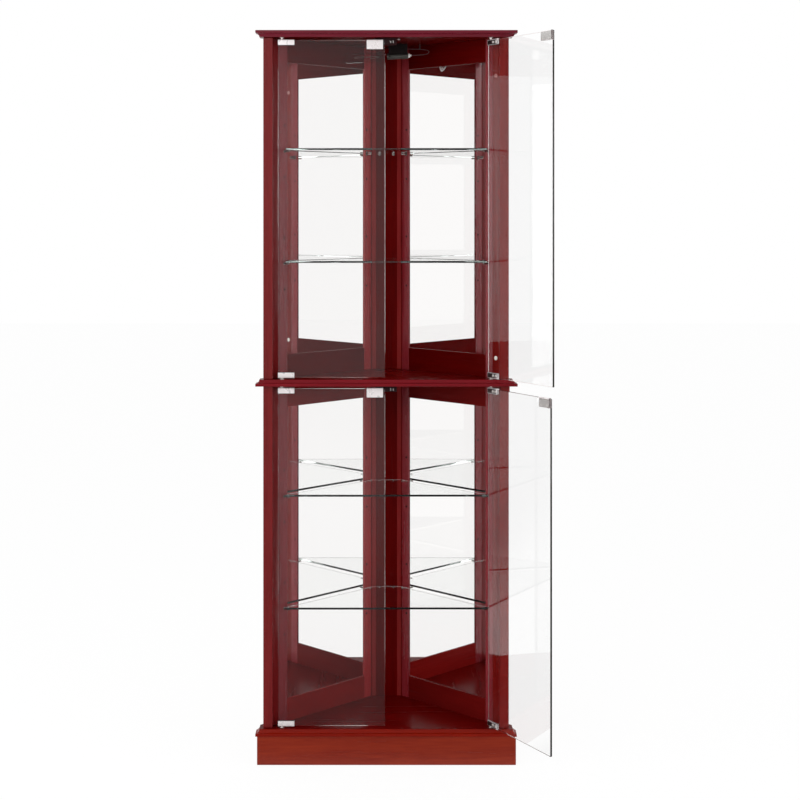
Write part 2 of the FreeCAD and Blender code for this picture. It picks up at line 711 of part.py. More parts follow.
grommet = turned("cord_grommet",
                 [("cordHole", "-cordFlangeThick"), ("cordFlange", "-cordFlangeThick"), ("cordFlange", 0),
                  ("cordHole + cordWall", 0), ("cordHole + cordWall", "cornerThick"),
                  ("cordHole", "cornerThick")])
nodes.append(place(grommet, "cordLeft", "cornerY", "crownLow - cordDrop", Rotation(Vector(1, 0, 0), -90)))

caps = []
for name, z in (("low", "waistTop + dotLow"), ("high", "crownLow - dotHigh")):
    cap = turned("post_cap_" + name,
                 [(0, 0), ("dotRadius", 0), ("dotRadius - dotProud", "dotProud"), (0, "dotProud")])
    caps.append(place(cap, "postIn - postWall / sqrt(8)", "postReturn + postWall / sqrt(8)", z,
                      Rotation(Vector(0, 0, 1), Vector(-1, -1, 0))))
nodes.append(group("post_caps", caps))


# ---- checks and files -------------------------------------------------------

doc.recompute()
for item in doc.Objects:
    if "Invalid" in item.State or "Error" in item.State:
        raise RuntimeError("%s did not compute: %s" % (item.Label, item.State))

os.makedirs("parts", exist_ok=True)
for item in nodes:
    shape = item.Shape
    if shape.isNull() or not shape.isValid():
        raise RuntimeError(item.Label + " has no valid shape")
    shape.exportStep("parts/%s.step" % item.Label)
    print("%-30s %2d solids %12.1f mm3" % (item.Label, len(shape.Solids), shape.Volume))
print(len(nodes), "nodes")
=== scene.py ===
# Corner curio cabinet: mahogany lacquer, mirrored walls, clear glass doors, a small lamp under the crown.
import math

import bmesh
import bpy
import numpy as np
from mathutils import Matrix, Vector


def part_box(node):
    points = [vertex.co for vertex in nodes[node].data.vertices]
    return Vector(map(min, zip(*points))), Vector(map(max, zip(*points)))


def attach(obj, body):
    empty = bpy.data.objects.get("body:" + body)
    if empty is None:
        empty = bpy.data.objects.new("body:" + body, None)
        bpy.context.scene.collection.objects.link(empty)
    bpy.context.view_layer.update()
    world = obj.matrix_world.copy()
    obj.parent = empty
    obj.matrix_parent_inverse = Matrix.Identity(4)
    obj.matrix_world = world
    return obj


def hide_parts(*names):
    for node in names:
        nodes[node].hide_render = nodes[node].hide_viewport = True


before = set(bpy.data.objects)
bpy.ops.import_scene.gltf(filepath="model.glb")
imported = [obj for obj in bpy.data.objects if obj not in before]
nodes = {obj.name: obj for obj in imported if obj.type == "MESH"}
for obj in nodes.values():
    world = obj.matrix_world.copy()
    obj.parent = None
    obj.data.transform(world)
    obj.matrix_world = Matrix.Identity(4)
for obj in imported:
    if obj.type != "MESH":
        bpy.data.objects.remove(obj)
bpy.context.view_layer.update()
mm = 0.001
print("stage: frame loaded,", len(nodes), "nodes")


# Camera: level, straight on, at a standing person's chin height.
cameraPlan = {
    "distance": 3.8,      # to the front of the posts
    "eye": 1.35,
    "lens": 69.8,
    "sensor": 36,
    "shiftX": 0.0169,
    "shiftY": -0.235,
    "clipEnd": 50,
}


def addObject(name, data):
    item = bpy.data.objects.new(name, data)
    bpy.context.collection.objects.link(item)
    return item


def makeCamera(plan):
    data = bpy.data.cameras.new("camera")
    data.lens = plan["lens"]
    data.sensor_width = plan["sensor"]
    data.shift_x = plan["shiftX"]
    data.shift_y = plan["shiftY"]
    data.clip_end = plan["clipEnd"]
    camera = addObject("camera", data)
    camera.location = (0, -plan["distance"], plan["eye"])
    camera.rotation_euler = (math.pi / 2, 0, 0)
    bpy.context.scene.camera = camera


makeCamera(cameraPlan)
bpy.context.scene.view_settings.view_transform = "Standard"
print("stage: camera")


# A node with its properties set. Each input gets a value, or a link where the value is another node's output.
def addNode(tree, kind, inputs=None, **settings):
    node = tree.nodes.new("ShaderNode" + kind)
    for name, value in settings.items():
        setattr(node, name, value)
    for name, value in (inputs or {}).items():
        if isinstance(value, bpy.types.NodeSocket):
            tree.links.new(value, node.inputs[name])
        else:
            node.inputs[name].default_value = value
    return node


def mathNode(tree, operation, first, second=0):
    return addNode(tree, "Math", {0: first, 1: second}, operation=operation).outputs[0]


def times(tree, first, second):
    return mathNode(tree, "MULTIPLY", first, second)


# A value carried from one pair of limits to another, in a straight line or as a smooth step.
def rampNode(tree, value, before=(0, 1), after=(0, 1), smooth=False):
    limits = dict(zip(("From Min", "From Max", "To Min", "To Max"), (*before, *after)))
    kind = "SMOOTHSTEP" if smooth else "LINEAR"
    return addNode(tree, "MapRange", {"Value": value, **limits}, interpolation_type=kind).outputs["Result"]


# The X, Y and Z of a place on a surface, or of the way a ray goes.
def coordinates(tree, kind):
    place = addNode(tree, "TexCoord").outputs[kind]
    return addNode(tree, "SeparateXYZ", {0: place}).outputs


# Ends an empty tree in a mix of two shaders, the second by the share given.
def closeTree(tree, output, share, first, second):
    mix = addNode(tree, "MixShader", {0: share, 1: first.outputs[0], 2: second.outputs[0]})
    addNode(tree, output, {"Surface": mix.outputs[0]})


# Light: a white studio with a dimmer room behind the camera, one soft lamp from each front side.
studioPlan = {
    "white": (1, 1, 1, 1),
    "ambient": 0.85,
    "room": 0.4,                # what a glossy surface sees of the room in front of the cabinet
    "roomStart": (0.15, 0.75),  # how far forward a reflection points where that room begins, and is full
    "panel": (0.16, 0.30),      # how far sideways the white panel behind the camera reaches, and has faded
    "beside": 0.5,              # the room beside that panel
    "lamps": [
        {"name": "keyLamp", "at": (-1.9, -3.4, 2.3), "aim": (0, 0, 0.8), "size": 2.2, "power": 44},
        {"name": "fillLamp", "at": (2.6, -2.8, 1.4), "aim": (0, 0, 0.7), "size": 2.0, "power": 24},
        {"name": "leftLamp", "at": (-2.6, -0.5, 1.2), "aim": (0.3, 0, 1.0), "size": 1.4, "power": 18},
        {"name": "rightLamp", "at": (2.6, -0.5, 1.2), "aim": (-0.3, 0, 1.0), "size": 1.4, "power": 7},
    ],
    "floorSize": 30,
    "floorPaint": (0.95, 0.95, 0.95, 1),
    "floorGlow": 0.93,          # the share of the floor that shows plain white
    "floorRoom": (0.0, 0.15),   # how far in front the floor starts to look like the room, and fully does
    "floorDim": (0.2, 4.5),     # from where to where it comes up from a darker level to the room's
    "floorNear": 1.45,          # how much further down it starts
    "floorPanel": (0.20, 0.34), # the panel's white on the floor, as sideways over forwards
}


# One for a ray from the camera, from a shiny surface or through glass, and zero for any other.
def seenRays(tree):
    path = addNode(tree, "LightPath").outputs
    shiny = mathNode(tree, "MAXIMUM", path["Is Camera Ray"], path["Is Glossy Ray"])
    return mathNode(tree, "MAXIMUM", shiny, path["Is Transmission Ray"])


# How bright the surroundings are: 1, but by the share given down to the room's level where a surface
# reflects them once, and beside the white panel also where it reflects them twice or more.
def roomLight(tree, share, beside, plan):
    path = addNode(tree, "LightPath").outputs
    once = mathNode(tree, "LESS_THAN", path["Glossy Depth"], 1.5)     # one on the first reflection
    glossy = times(tree, path["Is Glossy Ray"], share)
    first = times(tree, times(tree, once, plan["room"] - 1), glossy)
    more = times(tree, mathNode(tree, "SUBTRACT", 1, once), plan["beside"] - 1)
    second = times(tree, times(tree, more, beside), glossy)
    return mathNode(tree, "ADD", mathNode(tree, "ADD", first, second), 1)


# White all round for what is seen straight or in two mirrors; one reflection towards the front sees the room.
def makeWorld(plan):
    world = bpy.data.worlds.new("studio")
    world.use_nodes = True
    tree = world.node_tree
    tree.nodes.clear()
    way = coordinates(tree, "Generated")
    inRoom = rampNode(tree, times(tree, way["Y"], -1), plan["roomStart"], smooth=True)
    beside = rampNode(tree, mathNode(tree, "ABSOLUTE", way["X"]), plan["panel"], smooth=True)
    light = roomLight(tree, inRoom, beside, plan)
    soft = addNode(tree, "Background", {"Color": plan["white"], "Strength": plan["ambient"]})
    seen = addNode(tree, "Background", {"Color": plan["white"], "Strength": light})
    closeTree(tree, "OutputWorld", seenRays(tree), soft, seen)
    bpy.context.scene.world = world


def makeLamps(plan):
    for lamp in plan["lamps"]:
        data = bpy.data.lights.new(lamp["name"], "AREA")
        data.shape = "SQUARE"
        data.size = lamp["size"]
        data.energy = lamp["power"]
        item = addObject(lamp["name"], data)
        item.location = lamp["at"]
        away = Vector(lamp["aim"]) - Vector(lamp["at"])
        item.rotation_mode = "QUATERNION"
        item.rotation_quaternion = away.to_track_quat("-Z", "Y")
        item.visible_camera = False


# A wide plain sheet that takes shadows and otherwise shows white, or the room where it is reflected.
def makeFloor(plan):
    half = plan["floorSize"] / 2
    mesh = bpy.data.meshes.new("floor")
    corners = [(-half, -half, 0), (half, -half, 0), (half, half, 0), (-half, half, 0)]
    mesh.from_pydata(corners, [], [(0, 1, 2, 3)])
    floor = addObject("floor", mesh)
    material = bpy.data.materials.new("paleFloor")
    material.use_nodes = True
    tree = material.node_tree
    tree.nodes.clear()
    place = coordinates(tree, "Object")
    forward = times(tree, place["Y"], -1)
    lift = times(tree, rampNode(tree, forward, plan["floorDim"], smooth=True), 1 - plan["floorNear"])
    depth = mathNode(tree, "ADD", lift, plan["floorNear"])
    before = times(tree, rampNode(tree, forward, plan["floorRoom"], smooth=True), depth)
    aside = mathNode(tree, "DIVIDE", mathNode(tree, "ABSOLUTE", place["X"]),
                     mathNode(tree, "SUBTRACT", 1, place["Y"]))
    beside = rampNode(tree, aside, plan["floorPanel"], smooth=True)
    light = roomLight(tree, before, beside, plan)
    matte = addNode(tree, "BsdfDiffuse", {"Color": plan["floorPaint"]})
    glow = addNode(tree, "Emission", {"Color": plan["white"], "Strength": light})
    closeTree(tree, "OutputMaterial", times(tree, seenRays(tree), plan["floorGlow"]), matte, glow)
    mesh.materials.append(material)


makeWorld(studioPlan)
makeLamps(studioPlan)
makeFloor(studioPlan)
print("stage: studio")


# Lacquered mahogany. The grain group is shared by every wooden material.
woodPlan = {
    "dark": (0.165, 0.0060, 0.0050),
    "light": (0.232, 0.0125, 0.0095),
    "roughness": 0.26,
    "depth": 0.3 * mm,          # of the grain
    "relief": 0.05,
    "upright": (5, 5, 0.35),    # the grain's scale along X, Y and Z, on a piece that stands
    "level": (0.35, 5, 5),      # and on one that lies across the cabinet
    "streaks": (9, 6, 0.6),     # scale, detail and roughness of each noise
    "fibres": (42, 3, 0.5),
    "pores": (110, 2, 0.5),
    "fibreShare": 0.35,
    "toneLimits": (0.36, 0.64), # of the noise, from the darkest to the lightest wood
    "poreLimits": (0.30, 0.42), # of the noise, from the middle of a pore to clear wood
    "poreTone": 0.45,
    "uneven": (1.15, 0.9),      # roughness from the darkest streak to the lightest
}


# A shader group whose inputs and outputs are given as name: kind of socket.
def newGroup(name, inputs, outputs):
    group = bpy.data.node_groups.new(name, "ShaderNodeTree")
    for way, sockets in (("INPUT", inputs), ("OUTPUT", outputs)):
        for socket, kind in sockets.items():
            group.interface.new_socket(socket, in_out=way, socket_type="NodeSocket" + kind)
    return group, group.nodes.new("NodeGroupInput").outputs, group.nodes.new("NodeGroupOutput").inputs


def noiseNode(tree, place, scale, detail, roughness=0.5):
    return addNode(tree, "TexNoise", {"Vector": place, "Scale": scale, "Detail": detail,
                                      "Roughness": roughness}).outputs["Fac"]


# A mix of two colours by the share given.
def colourMix(tree, share, first, second, blend="MIX"):
    inputs = {0: share, 6: first, 7: second}
    return addNode(tree, "Mix", inputs, data_type="RGBA", blend_type=blend).outputs[2]


# Long soft streaks, finer fibres and short dark pores: noise squeezed across the grain and drawn out along
# it. The pores are the darkest spots of the finest noise.
def makeGrainGroup(plan):
    group, given, result = newGroup("woodGrain", {"Vector": "Vector", "Dark": "Color", "Light": "Color"},
                                    {"Colour": "Color", "Height": "Float", "Roughness": "Float"})
    streaks, fibres, pores = [noiseNode(group, given["Vector"], *plan[name])
                              for name in ("streaks", "fibres", "pores")]
    blend = addNode(group, "Mix", {0: plan["fibreShare"], 2: streaks, 3: fibres}, data_type="FLOAT")
    clear = rampNode(group, pores, plan["poreLimits"], (plan["poreTone"], 1))
    tone = times(group, rampNode(group, blend.outputs[0], plan["toneLimits"]), clear)
    group.links.new(colourMix(group, tone, given["Dark"], given["Light"]), result["Colour"])
    group.links.new(clear, result["Height"])
    group.links.new(rampNode(group, streaks, after=plan["uneven"]), result["Roughness"])
    return group


grainGroup = makeGrainGroup(woodPlan)


# A material with its tree, its shader and the shader's inputs set.
def newMaterial(name, inputs):
    material = bpy.data.materials.new(name)
    material.use_nodes = True
    tree = material.node_tree
    shader = tree.nodes["Principled BSDF"]
    for socket, value in inputs.items():
        shader.inputs[socket].default_value = value
    return material, tree, shader


# Joins a colour, a roughness and a bump of the given height to the shader.
def joinSurface(tree, shader, colour, roughness, height, strength, distance):
    bump = addNode(tree, "Bump", {"Height": height, "Strength": strength, "Distance": distance})
    tree.links.new(colour, shader.inputs["Base Color"])
    tree.links.new(roughness, shader.inputs["Roughness"])
    tree.links.new(bump.outputs["Normal"], shader.inputs["Normal"])


# The corner boards are glued up from three widths, the outer two lighter, with a dark line at each joint.
stripPlan = {
    "start": 27 * mm,     # from the middle of the board
    "joint": 1.4 * mm,
    "edge": 38.6 * mm,
    "shade": (2.2, 28, 34),
}


def lighterStrips(tree, colour, plan):
    aside = mathNode(tree, "ABSOLUTE", coordinates(tree, "Object")["X"])
    outside = rampNode(tree, aside, (plan["start"], plan["start"] + plan["joint"]), smooth=True)
    edge = rampNode(tree, aside, (plan["edge"] - plan["joint"], plan["edge"]), smooth=True)
    share = mathNode(tree, "SUBTRACT", outside, edge)
    return colourMix(tree, share, colour, (*plan["shade"], 1), "MULTIPLY")


# Mahogany whose grain runs where stretch is smallest, after turning the pattern about Z. Shade multiplies
# its colours, and gloss is the lacquer's specular level.
def woodMaterial(name, stretch, shade, gloss=0.25, turn=0, strip=None):
    plan = woodPlan
    material, tree, shader = newMaterial(name, {"Specular IOR Level": gloss})
    place = addNode(tree, "TexCoord").outputs["Object"]
    turned = addNode(tree, "Mapping", {"Vector": place, "Rotation": (0, 0, turn)}, vector_type="TEXTURE")
    scaled = addNode(tree, "Mapping", {"Vector": turned.outputs["Vector"], "Scale": stretch})
    grain = addNode(tree, "Group", node_tree=grainGroup)
    tree.links.new(scaled.outputs["Vector"], grain.inputs["Vector"])
    for tone in ("Dark", "Light"):
        grain.inputs[tone].default_value = (*np.multiply(plan[tone.lower()], shade), 1)
    colour = grain.outputs["Colour"]
    if strip:
        colour = lighterStrips(tree, colour, strip)
    joinSurface(tree, shader, colour, times(tree, grain.outputs["Roughness"], plan["roughness"]),
                grain.outputs["Height"], plan["relief"], plan["depth"])
    return material


standing, lying = woodPlan["upright"], woodPlan["level"]
uprights = woodMaterial("mahoganyUpright", standing, (0.92, 1.4, 2.5), gloss=0.45)
# The left inner stiles: a lighter copy of the uprights' wood, painted light where light falls on the left wall.
leftUprightsPaintedLight = woodMaterial("mahoganyUprightLeftPaintedLight", standing, (1.45, 1.7, 2.5), gloss=0.45)
# The corner boards: the wood made darker and duller, painted shade at the back of the bays.
cornerWoodPaintedShade = woodMaterial("mahoganyCornerPaintedShade", standing, (0.40, 0.05, 0.05), gloss=0.03, strip=stripPlan)
postWood = woodMaterial("mahoganyPosts", standing, (0.66, 0.7, 1.0))
# The right posts: a redder, lighter copy of the posts' wood, painted light.
rightPostsPaintedLight = woodMaterial("mahoganyPostsRightPaintedLight", standing, (0.77, 0.6, 0.6))
crownWood = woodMaterial("mahoganyCrown", lying, (0.60, 0.7, 2.2))
waistWood = woodMaterial("mahoganyWaist", lying, (0.72, 0.5, 1.2), gloss=0.12)
baseWood = woodMaterial("mahoganyBase", lying, (0.80, 0.5, 0.1), gloss=0.12)
plinthWood = woodMaterial("mahoganyPlinth", lying, (0.98, 1.6, 0.5))
# The boards' faces inside the bays: darker, duller wood, painted shade where little light reaches.
insideWoodPaintedShade = woodMaterial("mahoganyInsidePaintedShade", lying, (0.44, 0.12, 0.12), gloss=0.03)
# Painted light and shade: each wall's rails get their own copy of the wood. It is darker in the upper bay, where
# shade falls, and lighter in the lower bay, most of all on the left wall, where light falls.
railLightAndShade = {
    "upper_left": (0.44, 0.09, 0.09),
    "upper_right": (0.36, 0.07, 0.07),
    "lower_left": (0.90, 0.60, 0.70),
    "lower_right": (0.52, 0.36, 0.42),
}
wallAngle = 45
railWoodsPaintedLight = {}
for where, shade in railLightAndShade.items():
    turn = math.radians(wallAngle if where.endswith("left") else -wallAngle)
    name = "mahoganyRails" + where.title().replace("_", "")
    railWoodsPaintedLight[where] = woodMaterial(name, lying, shade, gloss=0.03, turn=turn)


def mirrorMaterial(name, tint):
    return newMaterial(name, {"Base Color": (*tint, 1), "Metallic": 1, "Roughness": 0})[0]


# Clear glass that lets lamp light straight through to what stands behind it.
def glassMaterial(name, tint, roughness=0, bend=1.5):
    tint = (*tint, 1)
    material, tree, shader = newMaterial(name, {"Base Color": tint, "Transmission Weight": 1,
                                                "Roughness": roughness, "IOR": bend})
    clear = addNode(tree, "BsdfTransparent", {"Color": tint})
    shadow = addNode(tree, "LightPath").outputs["Is Shadow Ray"]
    mix = addNode(tree, "MixShader", {0: shadow, 1: shader.outputs[0], 2: clear.outputs[0]})
    tree.links.new(mix.outputs[0], tree.nodes["Material Output"].inputs["Surface"])
    return material


# Handling marks: a slow cloudiness and fine specks, both as a mask from 0 to 1.
wearPlan = {
    "cloud": 60,              # scale
    "speck": 900,
    "detail": 3,
    "spread": (0.85, 1.15),   # how far the roughness wanders
    "strength": 0.2,          # of the tooth
}


def makeWearGroup(plan):
    masks = {"Cloud": "Float", "Speck": "Float"}
    group, given, result = newGroup("handlingWear", {"Vector": "Vector"}, masks)
    for mask in masks:
        noise = noiseNode(group, given["Vector"], plan[mask.lower()], plan["detail"])
        group.links.new(noise, result[mask])
    return group


wearGroup = makeWearGroup(wearPlan)


# A finish whose gloss and tone vary a little, with a fine tooth.
def plainMaterial(name, colour, roughness, metallic=0, coat=0, tooth=0.02 * mm, gloss=0.5,
                  tones=(0.95, 1.03)):
    material, tree, shader = newMaterial(name, {"Metallic": metallic, "Specular IOR Level": gloss,
                                                "Coat Weight": coat})
    wear = addNode(tree, "Group", node_tree=wearGroup)
    tree.links.new(addNode(tree, "TexCoord").outputs["Object"], wear.inputs["Vector"])
    shades = [(*np.clip(np.multiply(colour, tone), 0, 1), 1) for tone in tones]
    limits = [min(1, roughness * share) for share in wearPlan["spread"]]
    cloud = wear.outputs["Cloud"]
    joinSurface(tree, shader, colourMix(tree, cloud, *shades), rampNode(tree, cloud, after=limits),
                wear.outputs["Speck"], wearPlan["strength"], tooth)
    return material


fine = 0.002 * mm     # the tooth of drawn metal
mirrorGlass = mirrorMaterial("silveredGlass", (0.985, 0.98, 0.977))
doorGlass = glassMaterial("doorGlass", (0.994, 0.994, 0.993), bend=1.46)
# The doors' polished glass edges are tinted pink: a painted reflection of the mahogany around them.
doorEdgePaintedReflection = glassMaterial("doorGlassEdgePaintedReflection", (0.86, 0.75, 0.73), 0.06, bend=1.46)
shelfGlass = glassMaterial("shelfGlass", (0.965, 0.975, 0.97))
shelfEdge = glassMaterial("shelfGlassEdge", (0.80, 0.88, 0.85), 0.04)
bulbGlass = glassMaterial("bulbGlass", (0.93, 0.92, 0.91), bend=1.05)
brightMetal = plainMaterial("brightPlate", (0.84, 0.79, 0.79), 0.28, metallic=0.35, tooth=0.0005 * mm,
                            tones=(0.985, 1.01))
steelPlate = plainMaterial("steelPlate", (0.60, 0.585, 0.57), 0.22, metallic=1, tooth=fine)
clampSteel = plainMaterial("clampSteel", (0.10, 0.08, 0.08), 0.3, metallic=1, tooth=fine)
screwMetal = plainMaterial("clipScrew", (0.80, 0.76, 0.73), 0.25, metallic=0.6, tooth=fine)
pinMetal = plainMaterial("nickelPin", (0.62, 0.57, 0.55), 0.25, metallic=1, tooth=fine)
supportMetal = plainMaterial("supportPin", (0.28, 0.23, 0.22), 0.25, metallic=1, tooth=fine)
magnetMetal = plainMaterial("polePlate", (0.78, 0.76, 0.73), 0.25, metallic=1)
brass = plainMaterial("lampBrass", (0.70, 0.55, 0.28), 0.28, metallic=1)
filament = plainMaterial("filament", (0.30, 0.28, 0.26), 0.4, metallic=1)
dullMetal = plainMaterial("clipSteel", (0.045, 0.028, 0.028), 0.45, metallic=0.6)
ferrite = plainMaterial("ferrite", (0.045, 0.042, 0.040), 0.6)
# Near black: the socket's own button, and painted shade on the floors of the screw slots and in the spare peg
# holes.
blackAndPaintedShade = plainMaterial("blackButtonAndPaintedShade", (0.010, 0.003, 0.003), 0.8, gloss=0.05)
padRubber = plainMaterial("clipPad", (0.10, 0.09, 0.09), 0.7)
latchPlastic = plainMaterial("latchPlastic", (0.022, 0.005, 0.006), 0.42, gloss=0.15)
# Black plastic taken darker still: painted shade on the lamp bracket under the crown, and on the grommet.
blackPlasticPaintedShade = plainMaterial("lampBlackPaintedShade", (0.006, 0.003, 0.003), 0.45, gloss=0.14)
socketPlastic = plainMaterial("socketShell", (0.045, 0.042, 0.036), 0.45)
whiteEnd = plainMaterial("socketCap", (0.80, 0.76, 0.74), 0.35)
leadCover = plainMaterial("leadCover", (0.045, 0.012, 0.014), 0.35)
capWhite = plainMaterial("capWhite", (0.86, 0.84, 0.78), 0.32, coat=0.4)
capBrown = plainMaterial("capBrown", (0.30, 0.10, 0.09), 0.35, coat=0.4)
backBoard = plainMaterial("backBoard", (0.17, 0.075, 0.036), 0.75, tooth=0.2 * mm, gloss=0.15,
                          tones=(0.6, 1.35))
print("stage: materials")


# The main levels and corners of the cabinet, all read from the frame.
def boxOf(node):
    low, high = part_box(node)
    return np.array(low), np.array(high)


diagonal = 1 / math.sqrt(2)     # a step along a wall, as a share along X and Y
outerStile = boxOf("outer_stile_lower_right")
innerStile = boxOf("inner_stile_lower_right")
wallThick = 21 * mm
cabinet = {
    "crownLow": boxOf("crown_panel")[0][2],
    "cornerFace": boxOf("corner_board_lower")[0][1],
    "wallStart": np.array([outerStile[1][0] - wallThick * diagonal, outerStile[0][1]]),    # inner face, in front
    "cornerHalf": innerStile[0][0],      # where the walls end, from the middle
}
cabinet["wallLength"] = (cabinet["wallStart"][0] - cabinet["cornerHalf"]) / diagonal
bays = {
    "lower": {"floor": boxOf("base_panel")[1][2], "ceiling": boxOf("waist_panel")[0][2]},
    "upper": {"floor": boxOf("waist_panel")[1][2], "ceiling": cabinet["crownLow"]},
}
sides = {"left": -1, "right": 1}
doorways = [(bay + "_" + side, bay) for bay in bays for side in sides]
space = (np.zeros(3), np.eye(3))     # the shared frame itself


# A frame is an origin and three axes, as rows: a point (a, b, c) in it lies at
# origin + a*first + b*second + c*third.
def placed(points, frameIn):
    origin, axes = frameIn
    return np.asarray(origin) + np.asarray(points) @ np.asarray(axes)


# A frame whose third axis runs the given way, with the first two square to it.
def frameAlong(origin, way):
    way = np.array(way, float) / np.linalg.norm(way)
    first = np.cross((0, 0, 1) if abs(way[2]) < 0.9 else (1, 0, 0), way)     # never nearly along it
    first /= np.linalg.norm(first)
    return np.array(origin, float), np.stack([first, np.cross(way, first), way])


# Rings of points, one per row, joined by quads. Flat faces close the first and last ring, or the last
# joins the first again. Kind 0 is the skin and kind 1 a closing face.
def skin(rings, loop=False):
    rows, around = rings.shape[:2]
    index = np.arange(rows * around).reshape(rows, around)
    here = index if loop else index[:-1]
    after = np.roll(index, -1, 0) if loop else index[1:]
    quads = np.stack([here, np.roll(here, -1, 1), np.roll(after, -1, 1), after], -1).reshape(-1, 4)
    faces = quads.tolist()
    kinds = [0] * len(faces)
    if not loop:
        faces += [index[0].tolist()[::-1], index[-1].tolist()]
        kinds += [1, 1]
    return rings.reshape(-1, 3), faces, kinds


# Points round a circle of radius 1, (cos t, sin t): once round, or so many full turns from end to end.
def circle(steps, turns=None):
    turn = np.linspace(0, 2 * math.pi * (turns or 1), steps, endpoint=turns is not None)
    return np.stack([np.cos(turn), np.sin(turn)], -1)


# Flat outlines, each lifted to its own height: one ring each.
def stacked(outlines, heights):
    outlines = np.array(outlines)
    heights = np.broadcast_to(np.array(heights)[:, None, None], (*outlines.shape[:2], 1))
    return np.concatenate([outlines, heights], -1)


# A profile of (radius, height) turned about the third axis: a = r cos t, b = r sin t, c = height.
def turned(profile, frameIn, steps=28, loop=False):
    radius, height = np.array(profile, float).T
    return skin(placed(stacked(radius[:, None, None] * circle(steps), height), frameIn), loop)


# The inward normals of a polygon's sides, walked anticlockwise: before and after each corner, as rows.
def sideNormals(corners):
    along = np.roll(corners, -1, 0) - corners
    along /= np.linalg.norm(along, axis=1)[:, None]
    inward = np.stack([-along[:, 1], along[:, 0]], 1)
    return np.stack([np.roll(inward, 1, 0), inward], 1)


# A polygon with rounded corners. Each arc's centre lies where the two sides, moved in by the radius, cross;
# the arc shrinks as the outline moves in.
def roundedOutline(corners, radius, inset=0.0, steps=4):
    corners = np.array(corners, float)
    lines = sideNormals(corners)
    reach = np.einsum("nij,nj->ni", lines, corners) + radius
    centres = np.linalg.solve(lines, reach[..., None])[..., 0]
    start, end = np.arctan2(-lines[..., 1], -lines[..., 0]).T
    turn = start[:, None] + ((end - start) % (2 * math.pi))[:, None] * np.linspace(0, 1, steps)
    arcs = centres[:, None] + (radius - inset) * np.stack([np.cos(turn), np.sin(turn)], -1)
    return arcs.reshape(-1, 2)


# A quarter circle from (radius, 0) to (0, radius), as (inset, lift): radius * (1 - sin t), radius * (1 - cos t).
def quarter(radius, steps):
    turn = np.linspace(0, math.pi / 2, steps)
    return np.column_stack([radius * (1 - np.sin(turn)), radius * (1 - np.cos(turn))])


# The edge of a flat piece from low to high as (inset, height), with a quarter circle at each end.
def softEdge(low, high, rounding, steps=3):
    inset, lift = quarter(rounding, steps + 1).T
    return np.column_stack([np.r_[inset, inset[::-1]], np.r_[low + lift, high - lift[::-1]]])


# A flat piece: the outline, moved in by each inset of the profile, at each height of it.
def plate(corners, radius, profile, frameIn, steps=4):
    insets, heights = np.array(profile).T
    outlines = [roundedOutline(corners, radius, inset, steps) for inset in insets]
    return skin(placed(stacked(outlines, heights), frameIn))


def rectangle(lowA, highA, lowB, highB):
    return [(lowA, lowB), (highA, lowB), (highA, highB), (lowA, highB)]


# A strip of sheet metal: a bent line moved out and in by half the sheet, carried along the third axis.
def bentStrip(line, thick, low, high, frameIn):
    line = np.array(line, float)
    step = np.gradient(line, axis=0)
    step /= np.linalg.norm(step, axis=1)[:, None]
    side = np.stack([-step[:, 1], step[:, 0]], 1) * thick / 2
    section = np.vstack([line + side, (line - side)[::-1]])
    return skin(placed(stacked([section, section], (low, high)), frameIn))


# A U over an edge, in the middle of its sheet: a leg, two quarter bends and a leg.
def channelLine(half, leg, top, bend, steps=5):
    lift, across = quarter(bend, steps).T
    left = np.column_stack([-half + across, top - lift])
    return np.vstack([[(-half, -leg)], left, left[::-1] * (-1, 1), [(half, -leg)]])


# The driver slot of every screw head.
slotPlan = {
    "length": 0.74,       # half the slot, as a share of the head's radius
    "width": 0.15,
    "floor": 0.35,        # as a share of the head's height, as are the next two
    "foot": -0.2,
    "shoulder": 0.55,
    "top": 0.86,          # the flat top's radius, as a share
}


# A round screw head: its round top ring turns into the slot's outline, which goes down to its floor. The
# slot's outline is at min(length / |cos t|, width / |sin t|).
# Its closing faces, the slot's floor among them, take the caller's second finish, the near-black painted shade.
def slottedHead(frameIn, radius, height, steps=32):
    plan = slotPlan
    ring = circle(steps)
    tiny = 1e-6      # keeps the division from zero
    far, near = np.array([plan["length"], plan["width"]])[:, None] / np.maximum(np.abs(ring.T), tiny)
    slot = ring * np.minimum(far, near)[:, None]
    rings = np.array([ring, ring, ring * plan["top"], slot, slot]) * radius
    levels = np.array([plan["foot"], plan["shoulder"], 1, 1, plan["floor"]]) * height
    return skin(placed(stacked(rings, levels), frameIn))


# A round tube along a line of points: rings square to the line's direction, each of
# point + radius * (first * cos t + second * sin t).
def tube(line, radius, steps):
    line = np.array(line, float)
    way = np.gradient(line, axis=0)
    way /= np.linalg.norm(way, axis=1)[:, None]
    first = np.cross(way, (0.0, 0.31, 0.95))    # a direction that no wire takes
    first /= np.linalg.norm(first, axis=1)[:, None]
    second = np.cross(way, first)
    ring = circle(steps)
    return skin(line[:, None] + radius * (first[:, None] * ring[:, :1] + second[:, None] * ring[:, 1:]))


# The skin is shaded smooth apart from edges that bend by more than sharp, and closing faces stay flat.
def shadeSkin(mesh, sharp):
    flat = [not face.use_smooth for face in mesh.polygons]
    mesh.set_sharp_from_angle(angle=math.radians(sharp))
    mesh.polygons.foreach_set("use_smooth", [not value for value in flat])


# Rounds the edges that bend by more than the angle.
def roundEdges(item, width, segments, angle=40, **settings):
    rounding = item.modifiers.new("roundedEdges", "BEVEL")
    rounding.width = width
    rounding.segments = segments
    rounding.limit_method = "ANGLE"
    rounding.angle_limit = math.radians(angle)
    for name, value in settings.items():
        setattr(rounding, name, value)


